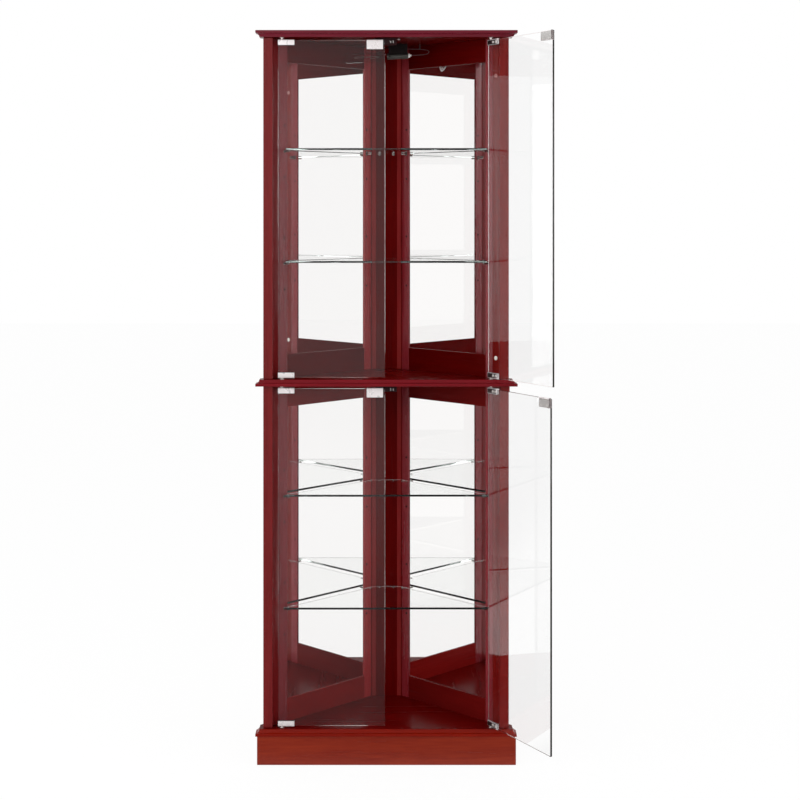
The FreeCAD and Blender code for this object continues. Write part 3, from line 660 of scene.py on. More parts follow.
# One object from several parts, each (surface, skin's material) with the closing faces' material third where
# that differs.
def makePiece(name, parts, body, replacing=(), sharp=35, bevel=0.0):
    mesh = bpy.data.meshes.new(name)
    shape = bmesh.new()
    materials = []
    for (points, faces, kinds), *finishes in parts:
        part = bpy.data.meshes.new("part")
        part.from_pydata(points.tolist(), [], faces)
        for finish in finishes:
            if finish not in materials:
                materials.append(finish)
        numbers = [materials.index(finishes[0]), materials.index(finishes[-1])]
        part.polygons.foreach_set("material_index", [numbers[kind] for kind in kinds])
        part.polygons.foreach_set("use_smooth", [kind == 0 for kind in kinds])
        firstPoint = len(shape.verts)
        shape.from_mesh(part)
        shape.verts.ensure_lookup_table()
        bmesh.ops.remove_doubles(shape, verts=shape.verts[firstPoint:], dist=0.001 * mm)
        bpy.data.meshes.remove(part)
    bmesh.ops.recalc_face_normals(shape, faces=shape.faces)
    shape.to_mesh(mesh)
    shape.free()
    for finish in materials:
        mesh.materials.append(finish)
    shadeSkin(mesh, sharp)
    piece = addObject(name, mesh)
    if bevel:
        roundEdges(piece, bevel, 2, harden_normals=True)
    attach(piece, body)
    if replacing:
        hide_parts(*replacing)
    return piece


# The crown, waist and base boards: the plan's outline moved in along the moulding at the front and the sides.
mouldingPlan = {
    "nose": 7 * mm,           # plain edge beside the hollow
    "rounding": 1.6 * mm,     # of the nose
    "arris": 0.7 * mm,        # between the nose and the hollow
    "hollow": 9 * mm,
    "step": 1.2 * mm,         # in from the nose to the hollow's start
    "steps": 7,
    "sharp": 28,              # degrees
}


# The moulding's profile as (inset, height) from the nose's outer face to the end of the hollow: a quarter
# circle out, the plain nose, a quarter circle back, and the hollow, a quarter circle of its own radius.
def mouldingProfile(plan):
    drop, inset = quarter(plan["arris"], plan["steps"]).T
    back = np.column_stack([inset, plan["nose"] - drop])
    turn = np.linspace(0, math.pi / 2, 2 * plan["steps"] - 1)
    hollow = np.column_stack([np.maximum(plan["hollow"] * np.sin(turn), plan["step"]),
                              plan["nose"] + plan["hollow"] * (1 - np.cos(turn))])
    return np.vstack([quarter(plan["rounding"], plan["steps"]), back, hollow])


# Each ring's corners are where neighbouring edges cross, the front and side edges moved in by the inset.
def mouldedBoard(name, node, wood, upsideDown):
    low, high = boxOf(node)
    backHalf, back = boxOf("corner_board_lower")[1][:2]
    half, front = high[0], low[1]
    sideEnd = back + backHalf - half
    corners = np.array([(-half, front), (half, front), (half, sideEnd), (backHalf, back), (-backHalf, back),
                        (-half, sideEnd)])
    moved = np.array([1, 1, 0, 0, 0, 1])    # the edges after each corner that carry the moulding
    lines = sideNormals(corners)
    shift = np.stack([np.roll(moved, 1), moved], 1)
    inset, lift = mouldingProfile(mouldingPlan).T
    reach = np.einsum("nij,nj->ni", lines, corners) + inset[:, None, None] * shift
    rings = np.linalg.solve(np.broadcast_to(lines, (len(inset), *lines.shape)), reach[..., None])[..., 0]
    points, faces, kinds = skin(stacked(rings, high[2] - lift if upsideDown else low[2] + lift))
    if upsideDown:
        kinds[-2] = 0    # the crown's top is finished as its edge is
    # The closing faces inside the bays take the darker inside wood as painted shade.
    makePiece(name, [((points, faces, kinds), wood, insideWoodPaintedShade)], "carcass", [node],
              sharp=mouldingPlan["sharp"])


mouldedBoard("crown_board", "crown_panel", crownWood, True)
mouldedBoard("waist_board", "waist_panel", waistWood, False)
mouldedBoard("base_board", "base_panel", baseWood, False)
print("stage: boards")


# Doors. A door's own frame has u from the pivot to the free edge, v out of the closed door's front and w up.
doorPlan = {
    "pivot": (256.5 * mm, 5.5 * mm),
    "past": 9.5 * mm,             # glass past its pivot
    "reach": 253 * mm,            # pivot to free edge
    "thick": 5 * mm,
    "corner": 2 * mm,
    "polish": 1.1 * mm,
    "open": {"upper_right": 121, "lower_right": 119.5},
}


# That frame at a height, as (origin, u, v, w), turned about the pivot as far as the door stands open at rest.
# Where up is -1, w points down.
def doorFrame(where, height=0.0, up=1):
    sign = 1 if where.endswith("right") else -1
    turn = math.radians(doorPlan["open"].get(where, 0))
    spin = np.array([[math.cos(turn), math.sin(turn), 0], [-math.sin(turn), math.cos(turn), 0], [0, 0, 1]])
    axes = np.array([(-sign, 0, 0), (0, -1, 0), (0, 0, up)]) @ spin
    return np.array([sign * doorPlan["pivot"][0], doorPlan["pivot"][1], height]), *axes


def doorGlassPiece(where):
    low, high = boxOf("door_glass_" + where)
    origin, u, v, w = doorFrame(where)
    half = doorPlan["thick"] / 2
    pane = plate(rectangle(-doorPlan["past"], doorPlan["reach"], low[2], high[2]), doorPlan["corner"],
                 softEdge(-half, half, doorPlan["polish"], steps=4), (origin, (u, w, v)), steps=5)
    makePiece("door_pane_" + where, [(pane, doorEdgePaintedReflection, doorGlass)], "door_" + where,
              ["door_glass_" + where])


# Hinge clips: a bright folded sheet over the glass corner, a thin pad inside it, a clamping plate with two
# slotted screws on the inner wall, and the pivot pin.
clipPlan = {
    "length": 40 * mm,
    "height": 12 * mm,
    "wall": 1.5 * mm,
    "bend": 1.6 * mm,
    "pad": 0.45 * mm,
    "padEnds": 0.4 * mm,      # short of the clip's ends
    "padPast": 0.5 * mm,      # past the clip's edge
    "padTop": 1 * mm,         # below the glass's edge
    "padCorner": 0.4 * mm,
    "clamp": 0.5 * mm,
    "clampEnds": (1 * mm, 0.6 * mm),
    "clampCorner": 1.2 * mm,
    "clampSoft": 0.2 * mm,
    "clampHeight": (0.6 * mm, 0.4 * mm),      # above the clip's edge, and below the glass's
    "screws": (15 * mm, 26 * mm),
    "screwRadius": 3.6 * mm,
    "screwHeight": 1.2 * mm,
    "screwTurn": (0.5, 90),   # where each slot points, as radians and radians for each metre along
    "pin": 2.45 * mm,
    "pinPast": 5.5 * mm,      # the board's face
    "pinSoft": 0.8 * mm,
    "rounding": 0.25 * mm,
}


# One clip. Its door's frame starts on the glass's edge, with w towards the board, and gap is how far that is.
def hingeClip(doorSide, gap):
    plan = clipPlan
    origin, u, v, w = doorSide
    flat = (origin, (u, w, v))
    start, end = -doorPlan["past"], plan["length"] - doorPlan["past"]
    middle = (doorPlan["thick"] + plan["wall"]) / 2
    inside = -middle - plan["wall"] / 2
    line = channelLine(middle, plan["height"], plan["wall"] / 2, plan["bend"])
    parts = [(bentStrip(line, plan["wall"], start, end, (origin, (v, w, u))), brightMetal)]
    pad = rectangle(start + plan["padEnds"], end - plan["padEnds"],
                    -plan["height"] - plan["padPast"], -plan["padTop"])
    for face in (-1, 1):
        at = face * doorPlan["thick"] / 2
        profile = [(0, at), (0, at + face * plan["pad"])]
        parts.append((plate(pad, plan["padCorner"], profile, flat), padRubber))
    clamp = rectangle(start + plan["clampEnds"][0], end - plan["clampEnds"][1],
                      -plan["height"] + plan["clampHeight"][0], -plan["clampHeight"][1])
    profile = softEdge(inside - plan["clamp"], inside + plan["clampSoft"], plan["clampSoft"])
    parts.append((plate(clamp, plan["clampCorner"], profile, flat), clampSteel))
    for along in plan["screws"]:
        seat = origin + along * u - plan["height"] / 2 * w + (inside - plan["clamp"]) * v
        turn = plan["screwTurn"][0] + along * plan["screwTurn"][1]
        axes = math.cos(turn) * u + math.sin(turn) * w, -math.sin(turn) * u + math.cos(turn) * w, -v
        head = slottedHead((seat, axes), plan["screwRadius"], plan["screwHeight"])
        parts.append((head, screwMetal, blackAndPaintedShade))
    radius, soft = plan["pin"], plan["pinSoft"]
    foot, tip = plan["wall"] / 2, gap + plan["pinPast"]
    pin = [(0, foot), (radius, foot), (radius, tip - soft), (radius - soft, tip), (0, tip)]
    parts.append((turned(pin, (origin, (u, v, w)), steps=24), pinMetal))
    return parts


def hingeClips(where, bay):
    low, high = boxOf("door_glass_" + where)
    parts = hingeClip(doorFrame(where, high[2], 1), bays[bay]["ceiling"] - high[2])
    parts += hingeClip(doorFrame(where, low[2], -1), low[2] - bays[bay]["floor"])
    makePiece("hinge_clip_pair_" + where, parts, "door_" + where, ["hinge_clips_" + where],
              bevel=clipPlan["rounding"])


# Strike plates: a folded sheet over the glass's top edge near its free end, a steel face for the magnet on
# its inner wall, and two small screws there.
strikePlan = {
    "length": 40 * mm,
    "height": 22 * mm,
    "wall": 1.2 * mm,
    "inset": 5 * mm,
    "bend": 1.3 * mm,
    "face": 0.3 * mm,
    "faceEdge": 0.5 * mm,     # in from the sheet's ends and lower edge
    "faceTop": 0.8 * mm,
    "faceCorner": 1.5 * mm,
    "faceSoft": 0.15 * mm,
    "sunk": 0.1 * mm,
    "screws": ((8 * mm, 17 * mm), (32 * mm, 17 * mm)),
    "screwRadius": 1.7 * mm,
    "screwHeight": 0.5 * mm,
    "rounding": 0.25 * mm,
}


def strikePiece(where):
    plan = strikePlan
    origin, u, v, w = doorFrame(where, boxOf("door_glass_" + where)[1][2])
    far = doorPlan["reach"] - plan["inset"]
    near = far - plan["length"]
    middle = (doorPlan["thick"] + plan["wall"]) / 2
    back = middle + plan["wall"] / 2
    line = channelLine(middle, plan["height"], plan["wall"] / 2, plan["bend"])
    parts = [(bentStrip(line, plan["wall"], near, far, (origin, (v, w, u))), brightMetal, clampSteel)]
    for along, down in plan["screws"]:
        seat = origin + (near + along) * u - down * w - (back + plan["face"]) * v
        head = slottedHead((seat, (w, u, -v)), plan["screwRadius"], plan["screwHeight"], steps=24)
        parts.append((head, screwMetal, blackAndPaintedShade))
    edge = plan["faceEdge"]
    face = rectangle(near + edge, far - edge, -plan["height"] + edge, -plan["faceTop"])
    profile = softEdge(-back - plan["face"], -back + plan["sunk"], plan["faceSoft"])
    parts.append((plate(face, plan["faceCorner"], profile, (origin, (u, w, v))), steelPlate))
    makePiece("strike_cover_" + where, parts, "door_" + where, ["strike_plate_" + where],
              bevel=plan["rounding"])


for where, bay in doorways:
    doorGlassPiece(where)
    hingeClips(where, bay)
    strikePiece(where)
print("stage: doors")


# Pivot bushes in the boards: a barrel, a flange against the board and a nose towards the clip.
bushPlan = {
    "bore": 2.56 * mm,
    "barrel": 4.2 * mm,
    "deep": 6.4 * mm,
    "flange": 6.2 * mm,
    "flangeThick": 1.0 * mm,
    "flangeSoft": 0.4 * mm,
    "toClip": 1.8 * mm,       # from the nose's end to the glass's edge
    "nose": 3.9 * mm,
    "noseSoft": 0.5 * mm,
    "noseLeast": 0.6 * mm,    # the nose stands at least this far out of the flange
}


# The bush's profile for a gap between board and glass, heights into the board.
def bushProfile(plan, gap):
    bore, nose, flange, barrel = plan["bore"], plan["nose"], plan["flange"], plan["barrel"]
    end = plan["toClip"] - gap
    face = max(-plan["flangeThick"], end + plan["noseLeast"])
    return [(bore, end), (nose - plan["noseSoft"], end), (nose, end + plan["noseSoft"]), (nose, face),
            (flange - plan["flangeSoft"], face), (flange, face + plan["flangeSoft"]), (flange, 0),
            (barrel, 0), (barrel, plan["deep"]), (bore, plan["deep"])]


def pivotBushes():
    parts = []
    for where, bay in doorways:
        low, high = boxOf("door_glass_" + where)
        origin = doorFrame(where)[0]
        floor, ceiling = bays[bay]["floor"], bays[bay]["ceiling"]
        for height, into, gap in ((floor, -1, low[2] - floor), (ceiling, 1, ceiling - high[2])):
            frameIn = frameAlong((*origin[:2], height), (0, 0, into))
            parts.append((turned(bushProfile(bushPlan, gap), frameIn, loop=True), pinMetal))
    makePiece("bush_set", parts, "carcass", ["pivot_bushes"])


pivotBushes()


# Touch latches: ears with screws beside each body, and in each plunger a magnet between two pole plates.
latchPlan = {
    "ear": 10 * mm,
    "earIn": 0.4 * mm,        # into the body
    "earThick": 2.2 * mm,
    "earDeep": 15 * mm,
    "earCorner": 3 * mm,
    "earSoft": 0.5 * mm,
    "screwRadius": 3 * mm,
    "screwHeight": 1.4 * mm,
    "shellFront": 0.5 * mm,   # behind the plunger's face
    "shellCorner": 1.4 * mm,
    "shellSoft": 0.6 * mm,
    "plate": 1.4 * mm,
    "plateAt": 3.5 * mm,
    "plateHeight": 6.2 * mm,
    "plateFront": 0.25 * mm,
    "magnetFront": 0.42 * mm,
    "magnetLess": 0.5 * mm,   # lower than the plates at each end
    "deep": 3 * mm,
    "corner": 0.4 * mm,
    "soft": 0.2 * mm,
}


def latchEars():
    plan = latchPlan
    low, high = boxOf("latch_bodies")
    middle = (low[1] + high[1]) / 2
    parts = []
    for levels in bays.values():
        for sign in sides.values():
            ends = sorted((sign * (high[0] - plan["earIn"]), sign * (high[0] + plan["ear"])))
            corners = rectangle(*ends, middle - plan["earDeep"] / 2, middle + plan["earDeep"] / 2)
            under = ((0, 0, levels["ceiling"]), np.eye(3))
            profile = softEdge(-plan["earThick"], 0, plan["earSoft"])
            parts.append((plate(corners, plan["earCorner"], profile, under), latchPlastic))
            seat = (sign * (high[0] + plan["ear"] / 2), middle, levels["ceiling"] - plan["earThick"])
            head = slottedHead(frameAlong(seat, (0, 0, -1)), plan["screwRadius"], plan["screwHeight"])
            parts.append((head, screwMetal, blackAndPaintedShade))
    makePiece("latch_ears", parts, "carcass", sharp=30)


def magnetPlunger(where):
    plan = latchPlan
    low, high = boxOf("latch_plunger_" + where)
    half = (high - low) / 2
    frameIn = ((low[0] + half[0], low[1], low[2] + half[2]), ((1, 0, 0), (0, 0, 1), (0, 1, 0)))
    tall, thick = plan["plateHeight"] / 2, plan["plate"] / 2

    def block(corners, front):
        return plate(corners, plan["corner"], softEdge(front, plan["deep"], plan["soft"]), frameIn)

    shell = plate(rectangle(-half[0], half[0], -half[2], half[2]), plan["shellCorner"],
                  softEdge(plan["shellFront"], 2 * half[1], plan["shellSoft"]), frameIn)
    parts = [(shell, latchPlastic)]
    for at in (-plan["plateAt"], plan["plateAt"]):
        parts.append((block(rectangle(at - thick, at + thick, -tall, tall), plan["plateFront"]), magnetMetal))
    wide, tall = plan["plateAt"] - thick, tall - plan["magnetLess"]
    parts.append((block(rectangle(-wide, wide, -tall, tall), plan["magnetFront"]), ferrite))
    makePiece("magnet_plunger_" + where, parts, "plunger_" + where,
              ["latch_plunger_" + where])


latchEars()
for where, bay in doorways:
    magnetPlunger(where)
print("stage: hinges and latches")


# Glass shelves: the plan's outline with polished edges, all four corners slightly rounded.
shelfPlan = {"corner": 3 * mm, "polish": 0.6 * mm}


def shelfPiece(node):
    low, high = boxOf(node)
    backHalf = high[0] - (high[1] - low[1])
    corners = [(-high[0], low[1]), (high[0], low[1]), (backHalf, high[1]), (-backHalf, high[1])]
    edge = softEdge(low[2], high[2], shelfPlan["polish"], steps=4)
    pane = plate(corners, shelfPlan["corner"], edge, space, steps=5)
    makePiece(node.replace("shelf", "shelf_pane"), [(pane, shelfEdge, shelfGlass)], "carcass",
              [node])


shelfNodes = [name for name in nodes if name.startswith("shelf_") and name != "shelf_pegs"]
for node in shelfNodes:
    shelfPiece(node)


# Shelf supports: a turned pin with a collar against the wood, a groove and a rounded end.
supportPlan = {
    "inset": 16.5 * mm,       # side supports from the post or the corner board
    "spread": 18 * mm,        # rear supports from the middle
    "pin": 2.15 * mm,
    "reach": 18 * mm,
    "foot": [(0, -3 * mm), (2.3 * mm, -3 * mm), (2.3 * mm, 0)],      # in the wood, as (radius, height)
    "collar": [(3.7 * mm, 0), (4.0 * mm, 0.3 * mm), (4.0 * mm, 1.1 * mm), (3.5 * mm, 1.6 * mm)],
    "groove": [(0.82, 1.8 * mm), (0.82, 2.6 * mm), (1, 3.0 * mm)],   # as (share of the pin's radius, height)
    "tip": [(1, 1.2 * mm), (0.86, 0.4 * mm), (0.5, 0.05 * mm), (0, 0)],    # as (share, short of the reach)
    "spare": 64 * mm,         # spare holes above and below each support
    "hole": [(0, 0.02 * mm), (2.125 * mm, 0.02 * mm), (2.5 * mm, 0.10 * mm), (2.75 * mm, 0.08 * mm),
             (2.9 * mm, -0.05 * mm), (0, -0.3 * mm)],    # its worn rim, as (radius, height)
}


# Where the supports of one level go in, and the way each points.
def supportSeats():
    plan = supportPlan
    seats = []
    for sign in sides.values():
        for along in (plan["inset"], cabinet["wallLength"] - plan["inset"]):
            x, y = cabinet["wallStart"] + along * diagonal * np.array([-1, 1])
            seats.append(((sign * x, y), (-sign, -1, 0)))
        seats.append(((sign * plan["spread"], cabinet["cornerFace"]), (0, -1, 0)))
    return seats


def shelfSupports():
    plan = supportPlan
    pin = plan["pin"]
    profile = [*plan["foot"], *plan["collar"], *((pin * share, height) for share, height in plan["groove"]),
               *((pin * share, plan["reach"] - short) for share, short in plan["tip"])]
    parts = []
    holes = []
    for node in shelfNodes:
        height = boxOf(node)[0][2] - pin
        for (x, y), way in supportSeats():
            parts.append((turned(profile, frameAlong((x, y, height), way), steps=20), supportMetal))
            for offset in (-plan["spare"], plan["spare"]) if way[0] else ():
                # Each spare hole is a thin dark disc on the wood, painted shade standing for the hole's depth.
                hole = turned(plan["hole"], frameAlong((x, y, height + offset), way), steps=16)
                holes.append((hole, blackAndPaintedShade))
    makePiece("shelf_supports", parts, "carcass", ["shelf_pegs"])
    makePiece("spare_peg_holes", holes, "carcass")


shelfSupports()
print("stage: shelves")


# The lamp lies across the cabinet under the crown board, its bulb to the left, and slopes up to the right.
lampPlan = {
    "mouth": 1.5 * mm,            # the socket's mouth right of the middle
    "back": 150 * mm,
    "drop": 32.5 * mm,
    "tilt": 3,
    "socketRadius": 8 * mm,
    "socketLength": 54 * mm,
    "socketMouth": [(6.5 * mm, 14 * mm), (6.5 * mm, 0.4 * mm), (6.9 * mm, 0)],    # as (radius, depth)
    "grip": (0.27, 0.29, 0.63, 0.65),     # the sunk stretch, as shares of the socket's length
    "gripSunk": 0.7 * mm,
    "lip": (0.3 * mm, 0.4 * mm),  # chamfers of the socket's two ends, as (in, along)
    "heel": (1.0 * mm, 1.2 * mm),
    "ridges": 7,
    "ridgeSpan": (0.30, 0.62),
    "cap": [(5.5 * mm, -1 * mm), (5.5 * mm, 3.6 * mm), (5.0 * mm, 4.4 * mm), (2.6 * mm, 4.8 * mm),
            (2.3 * mm, 5.4 * mm), (2.3 * mm, 7.2 * mm), (1.7 * mm, 8 * mm)],    # as (radius, past the socket)
    "capLength": 8 * mm,
    "button": [(1.8 * mm, -0.2 * mm), (1.8 * mm, 0.7 * mm), (1.3 * mm, 1.1 * mm), (0, 1.2 * mm)],
    "buttonAt": 7 * mm,
    "bulbRadius": 12.5 * mm,
    "bulbLength": 110 * mm,
    "glassWall": 0.7 * mm,
    "dome": 9 * mm,               # length of the bulb's end
    "shoulder": 16 * mm,
    "neck": 6.2 * mm,             # radius, of the threaded base
    "neckPlay": 0.6 * mm,         # between the glass's neck and the base
    "neckLength": 3 * mm,
    "steps": 9,                   # of the dome, and of the shoulder
    "base": (0.5 * mm, 13 * mm),  # start and end
    "thread": (1 * mm, 12 * mm),
    "threadTurns": 5,
    "threadSteps": 31,
    "threadDeep": 0.35 * mm,
    "stem": [(0, 1 * mm), (4.2 * mm, 1 * mm), (3.0 * mm, -6 * mm), (1.6 * mm, -14 * mm), (1.2 * mm, -26 * mm),
             (0, -28 * mm)],
    "wires": [[(-1.0, 0, -20), (-2.2, 0, -34), (-3.2, 0, -44), (0, 0, -40)],
              [(1.0, 0, -20), (2.2, 0, -34), (3.2, 0, -76), (0, 0, -84)]],        # in mm
    "wire": 0.28 * mm,
    "coil": (-40 * mm, -84 * mm),
    "coilRadius": 0.7 * mm,
    "coilTurns": 22,
    "coilSteps": 220,
    "coilWire": 0.16 * mm,
}


def lampFrame():
    tilt = math.radians(lampPlan["tilt"])
    origin = np.array([lampPlan["mouth"], lampPlan["back"], cabinet["crownLow"] - lampPlan["drop"]])
    way = np.array([math.cos(tilt), 0, math.sin(tilt)])
    up = np.array([-math.sin(tilt), 0, math.cos(tilt)])
    return origin, np.stack([up, np.cross(way, up), way])


# The socket's grip is radius - depth * (1 + cos(turns)) / 2 along its middle stretch.
def lampSocket():
    plan = lampPlan
    frameIn = lampFrame()
    r, length, sunk = plan["socketRadius"], plan["socketLength"], plan["gripSunk"]
    start, floor, rise, full = np.multiply(plan["grip"], length)
    along = np.linspace(*plan["ridgeSpan"], plan["ridges"] * 6 + 1) * length
    wave = r - sunk / 2 * (1 + np.cos(np.linspace(0, 2 * math.pi * plan["ridges"], len(along))))
    lip, heel = plan["lip"], plan["heel"]
    front = [(0, plan["socketMouth"][0][1]), *plan["socketMouth"], (r - lip[0], 0), (r, lip[1]), (r, start),
             (r - sunk, floor)]
    rear = [(r - sunk, rise), (r, full), (r, length - heel[1]), (r - heel[0], length), (0, length)]
    shell = turned(np.vstack([front, np.column_stack([wave, along]), rear]), frameIn, steps=40)
    cap = np.array([(0, plan["cap"][0][1]), *plan["cap"], (0, plan["capLength"])]) + (0, length)
    button = np.array([(0, plan["button"][0][1]), *plan["button"]]) + (0, r)
    seat = frameAlong(frameIn[0] + frameIn[1][2] * plan["buttonAt"], (0, -1, 0))
    parts = [(shell, socketPlastic), (turned(cap, frameIn), whiteEnd),
             (turned(button, seat, steps=16), blackAndPaintedShade)]
    makePiece("socket_shell", parts, "carcass", ["lamp_socket"])


# The bulb's wall, moved in by a distance: its end is a quarter of an ellipse, (r sin t, dome * (1 - cos t)),
# and its shoulder half a wave, neck + (r - neck) * (1 + cos 2t) / 2.
def bulbOutline(plan, inwards):
    r, neck = plan["bulbRadius"] - inwards, plan["neck"] - plan["neckPlay"] - inwards
    turn = np.linspace(0, math.pi / 2, plan["steps"])
    end = inwards - plan["bulbLength"] + plan["dome"] * (1 - np.cos(turn))
    width = neck + (r - neck) * (1 + np.cos(2 * turn)) / 2
    shoulder = np.column_stack([width, np.linspace(-plan["shoulder"], 0, plan["steps"])])
    return np.vstack([np.column_stack([r * np.sin(turn), end]), shoulder, [(neck, plan["neckLength"])]])


# The bulb: its glass from the inner pole to the neck and back outside to the outer pole, its threaded base,
# and inside a glass stem, two wires and the wound filament.
def lampBulb():
    plan = lampPlan
    frameIn = lampFrame()
    glass = np.vstack([bulbOutline(plan, plan["glassWall"]), bulbOutline(plan, 0)[::-1]])
    share = np.linspace(0, 1, plan["threadSteps"])
    ridge = plan["threadDeep"] * (1 - np.cos(share * 2 * math.pi * plan["threadTurns"])) / 2
    thread = np.column_stack([plan["neck"] - ridge, np.linspace(*plan["thread"], plan["threadSteps"])])
    start, end = plan["base"]
    base = np.vstack([[(0, start), (plan["neck"] - 2 * plan["threadDeep"], start)], thread, [(0, end)]])
    parts = [(turned(glass, frameIn, steps=40), bulbGlass), (turned(base, frameIn, steps=32), brass),
             (turned(plan["stem"], frameIn, steps=20), bulbGlass)]
    for wire in plan["wires"]:
        parts.append((tube(placed(np.array(wire) * mm, frameIn), plan["wire"], steps=6), filament))
    across = circle(plan["coilSteps"], plan["coilTurns"]) * plan["coilRadius"]
    coil = np.column_stack([across, np.linspace(*plan["coil"], plan["coilSteps"])])
    parts.append((tube(placed(coil, frameIn), plan["coilWire"], steps=5), filament))
    makePiece("bulb_glass_and_filament", parts, "carcass", ["lamp_bulb"], sharp=45)


lampSocket()
lampBulb()


# The lamp's lead, as (right of the middle, below the crown board): out of the cap along its axis, a tight
# turn back, and level into the bracket's side. A strap holds it to the board.
leadPlan = {
    "onAxis": (0, 33 * mm),
    "route": [(109 * mm, 24 * mm), (106 * mm, 13 * mm), (53.5 * mm, 13 * mm)],
    "diameter": 2.5 * mm,
    "length": 106 * mm,
    "strapAt": 85 * mm,
    "strapWide": 4 * mm,
    "strapSheet": 0.8 * mm,
    "strapPlay": 0.3 * mm,
    "strapEnd": 3 * mm,       # how far it comes up again behind the lead
    "foot": 7 * mm,
    "footThick": 0.9 * mm,
    "footCorner": 1 * mm,
    "footSoft": 0.2 * mm,
}


def lampLead():
    plan = leadPlan
    origin, axes = lampFrame()
    start = lampPlan["socketLength"] + lampPlan["capLength"]
    points = [origin + axes[2] * (start + beyond) for beyond in plan["onAxis"]]
    points += [np.array([x, lampPlan["back"], cabinet["crownLow"] - drop]) for x, drop in plan["route"]]
    curve = bpy.data.curves.new("lead_line", "CURVE")
    curve.dimensions = "3D"
    curve.bevel_depth = plan["diameter"] / 2
    curve.bevel_resolution = 4
    curve.resolution_u = 16
    curve.use_fill_caps = True
    spline = curve.splines.new("NURBS")
    spline.points.add(len(points) - 1)
    for point, place in zip(spline.points, points):
        point.co = (*place, 1)
    spline.order_u = 3
    spline.use_endpoint_u = True
    curve.materials.append(leadCover)
    lead = addObject("lead_line", curve)
    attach(lead, "carcass")
    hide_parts("lamp_lead")


# The strap goes from the crown board down past the lead, half round under it and up again: below the lead
# it is (r cos t, -drop - r sin t).
def leadStrap():
    plan = leadPlan
    drop = plan["route"][-1][1]
    half = plan["strapWide"] / 2
    radius = plan["diameter"] / 2 + plan["strapPlay"]
    turn = np.linspace(0, math.pi, 9)
    under = np.column_stack([radius * np.cos(turn), -drop - radius * np.sin(turn)])
    line = np.vstack([[(radius, 0)], under, [(-radius, -drop + plan["strapEnd"])]])
    origin = np.array([plan["strapAt"], lampPlan["back"], cabinet["crownLow"]])
    strap = bentStrip(line, plan["strapSheet"], -half, half, (origin, ((0, 1, 0), (0, 0, 1), (1, 0, 0))))
    profile = softEdge(-plan["footThick"], 0, plan["footSoft"])
    foot = plate(rectangle(0, plan["foot"], -half, half), plan["footCorner"], profile,
                 (origin, ((0, 1, 0), (1, 0, 0), (0, 0, 1))))
    makePiece("lead_strap", [(strap, dullMetal), (foot, dullMetal)], "carcass", ["lead_clip"])


lampLead()
leadStrap()


# The grommet for the mains lead in the corner board: a flange rolled over as half an ellipse, and a barrel.
grommetPlan = {"bore": 6 * mm, "barrel": 7.4 * mm, "deep": 24.6 * mm, "roll": 2 * mm}


def cordGrommet():
    plan = grommetPlan
    low, high = boxOf("cord_grommet")
    middle, half = (low + high) / 2, (high - low) / 2
    turn = np.linspace(0, math.pi, 9)
    radius = (half[0] + plan["bore"]) / 2 - (half[0] - plan["bore"]) / 2 * np.cos(turn)
    profile = np.vstack([np.column_stack([radius, -plan["roll"] * np.sin(turn)]),
                         [(plan["barrel"], 0), (plan["barrel"], plan["deep"]), (plan["bore"], plan["deep"])]])
    frameIn = frameAlong((middle[0], cabinet["cornerFace"], middle[2]), (0, 1, 0))
    ring = turned(profile, frameIn, steps=32, loop=True)
    makePiece("rolled_grommet", [(ring, blackPlasticPaintedShade)], "carcass", ["cord_grommet"])


# Screw caps on the right posts, the lower one light and the upper one brown: a low dome with a dimple.
capPlan = {
    "radius": 5.5 * mm,
    "behind": 0.75 * mm,      # the middle of the cap to the post's face
    "dome": [(1, 0), (1, 0.4 * mm), (0.94, 0.8 * mm), (0.78, 1.15 * mm), (0.5, 1.4 * mm), (0.16, 1.5 * mm),
             (0.1, 1.3 * mm), (0, 1.25 * mm)],     # as (share of the radius, height)
}


def postCaps():
    low, high = boxOf("post_caps")
    radius = capPlan["radius"]
    profile = [(radius * share, height) for share, height in capPlan["dome"]]
    x, y = (low[:2] + high[:2]) / 2 + capPlan["behind"] * diagonal
    parts = [(turned(profile, frameAlong((x, y, height), (-1, -1, 0))), finish)
             for height, finish in ((low[2] + radius, capWhite), (high[2] - radius, capBrown))]
    makePiece("screw_caps", parts, "carcass", ["post_caps"])


cordGrommet()
postCaps()
print("stage: lamp and caps")


# Panel pins that hold the backing boards in their steps, behind the mirrors.
pinPlan = {
    "head": [(0, -0.5 * mm), (1.6 * mm, -0.5 * mm), (1.6 * mm, 0.25 * mm), (0.96 * mm, 0.55 * mm),
             (0, 0.65 * mm)],
    "behind": 10 * mm,                # the backing board's outer face behind the wall's inner face
    "ends": 57 * mm,                  # the outer pins of an upright row from the bay's floor and ceiling
    "upright": 8,                     # pins in an upright row
    "beside": (22.5 * mm, 21.5 * mm), # the upright rows from the wall's two ends
    "across": (26 * mm, 25 * mm, 4),  # a level row's places from the two ends, the outer two left out
    "past": 3.5 * mm,                 # the level rows past the ends of the upright ones
}


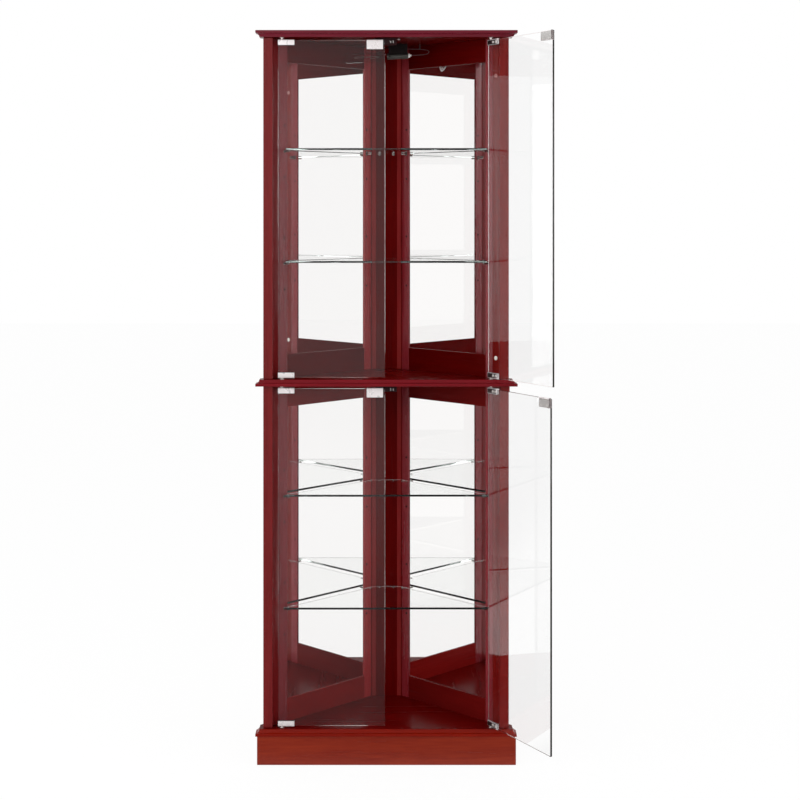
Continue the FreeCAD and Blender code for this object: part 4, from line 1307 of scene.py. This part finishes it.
def backingPins():
    plan = pinPlan
    parts = []
    start, length = cabinet["wallStart"], cabinet["wallLength"]
    columns = plan["beside"][0], length - plan["beside"][1]
    first, last, places = plan["across"]
    alongs = np.linspace(first, length - last, places)[1:-1]
    for levels in bays.values():
        low, high = levels["floor"] + plan["ends"], levels["ceiling"] - plan["ends"]
        heights = np.linspace(low, high, plan["upright"])
        spots = [(along, height) for along in columns for height in heights]
        spots += [(along, height) for height in (low - plan["past"], high + plan["past"]) for along in alongs]
        for sign in sides.values():
            for along, height in spots:
                x, y = start + (along * np.array([-1, 1]) + plan["behind"]) * diagonal
                seat = frameAlong((sign * x, y, height), (sign, 1, 0))
                parts.append((turned(plan["head"], seat, steps=12), dullMetal))
    makePiece("panel_pins", parts, "carcass")


backingPins()


# The wooden and moulded pieces that keep their own shape get rounded edges, and every piece its finish, by
# how its name starts and ends.
finishes = [
    ("plinth_", "", plinthWood),
    ("post_", "right", rightPostsPaintedLight),
    ("post_", "", postWood),
    ("corner_board_", "", cornerWoodPaintedShade),
    ("inner_stile_", "left", leftUprightsPaintedLight),
    ("mirror_backings_", "", backBoard),
    ("mirror_", "", mirrorGlass),
    ("latch_bodies", "", latchPlastic),
    ("lamp_bracket", "", blackPlasticPaintedShade),
    *(("side_rails_", where, wood) for where, wood in railWoodsPaintedLight.items()),
    ("", "", uprights),
]
edgePlan = {
    "post_": 1.6 * mm,
    "plinth_": 1.2 * mm,
    "outer_stile_": 0.9 * mm,
    "inner_stile_": 0.9 * mm,
    "side_rails_": 1.0 * mm,
    "corner_board_": 0.8 * mm,
    "latch_bodies": 0.5 * mm,
    "lamp_bracket": 1.0 * mm,
}


# The node's loose triangles are joined before its edges are rounded.
def softenEdges(item, width):
    joined = item.modifiers.new("joinedFaces", "WELD")
    joined.merge_threshold = 0.01 * mm
    roundEdges(item, width, 3, use_clamp_overlap=False)


for name, item in nodes.items():
    item.data.materials.clear()
    item.data.materials.append(next(finish for start, end, finish in finishes
                                    if name.startswith(start) and name.endswith(end)))
    for start, width in edgePlan.items():
        if name.startswith(start) and name != "post_caps":
            softenEdges(item, width)
print("stage: finishes")
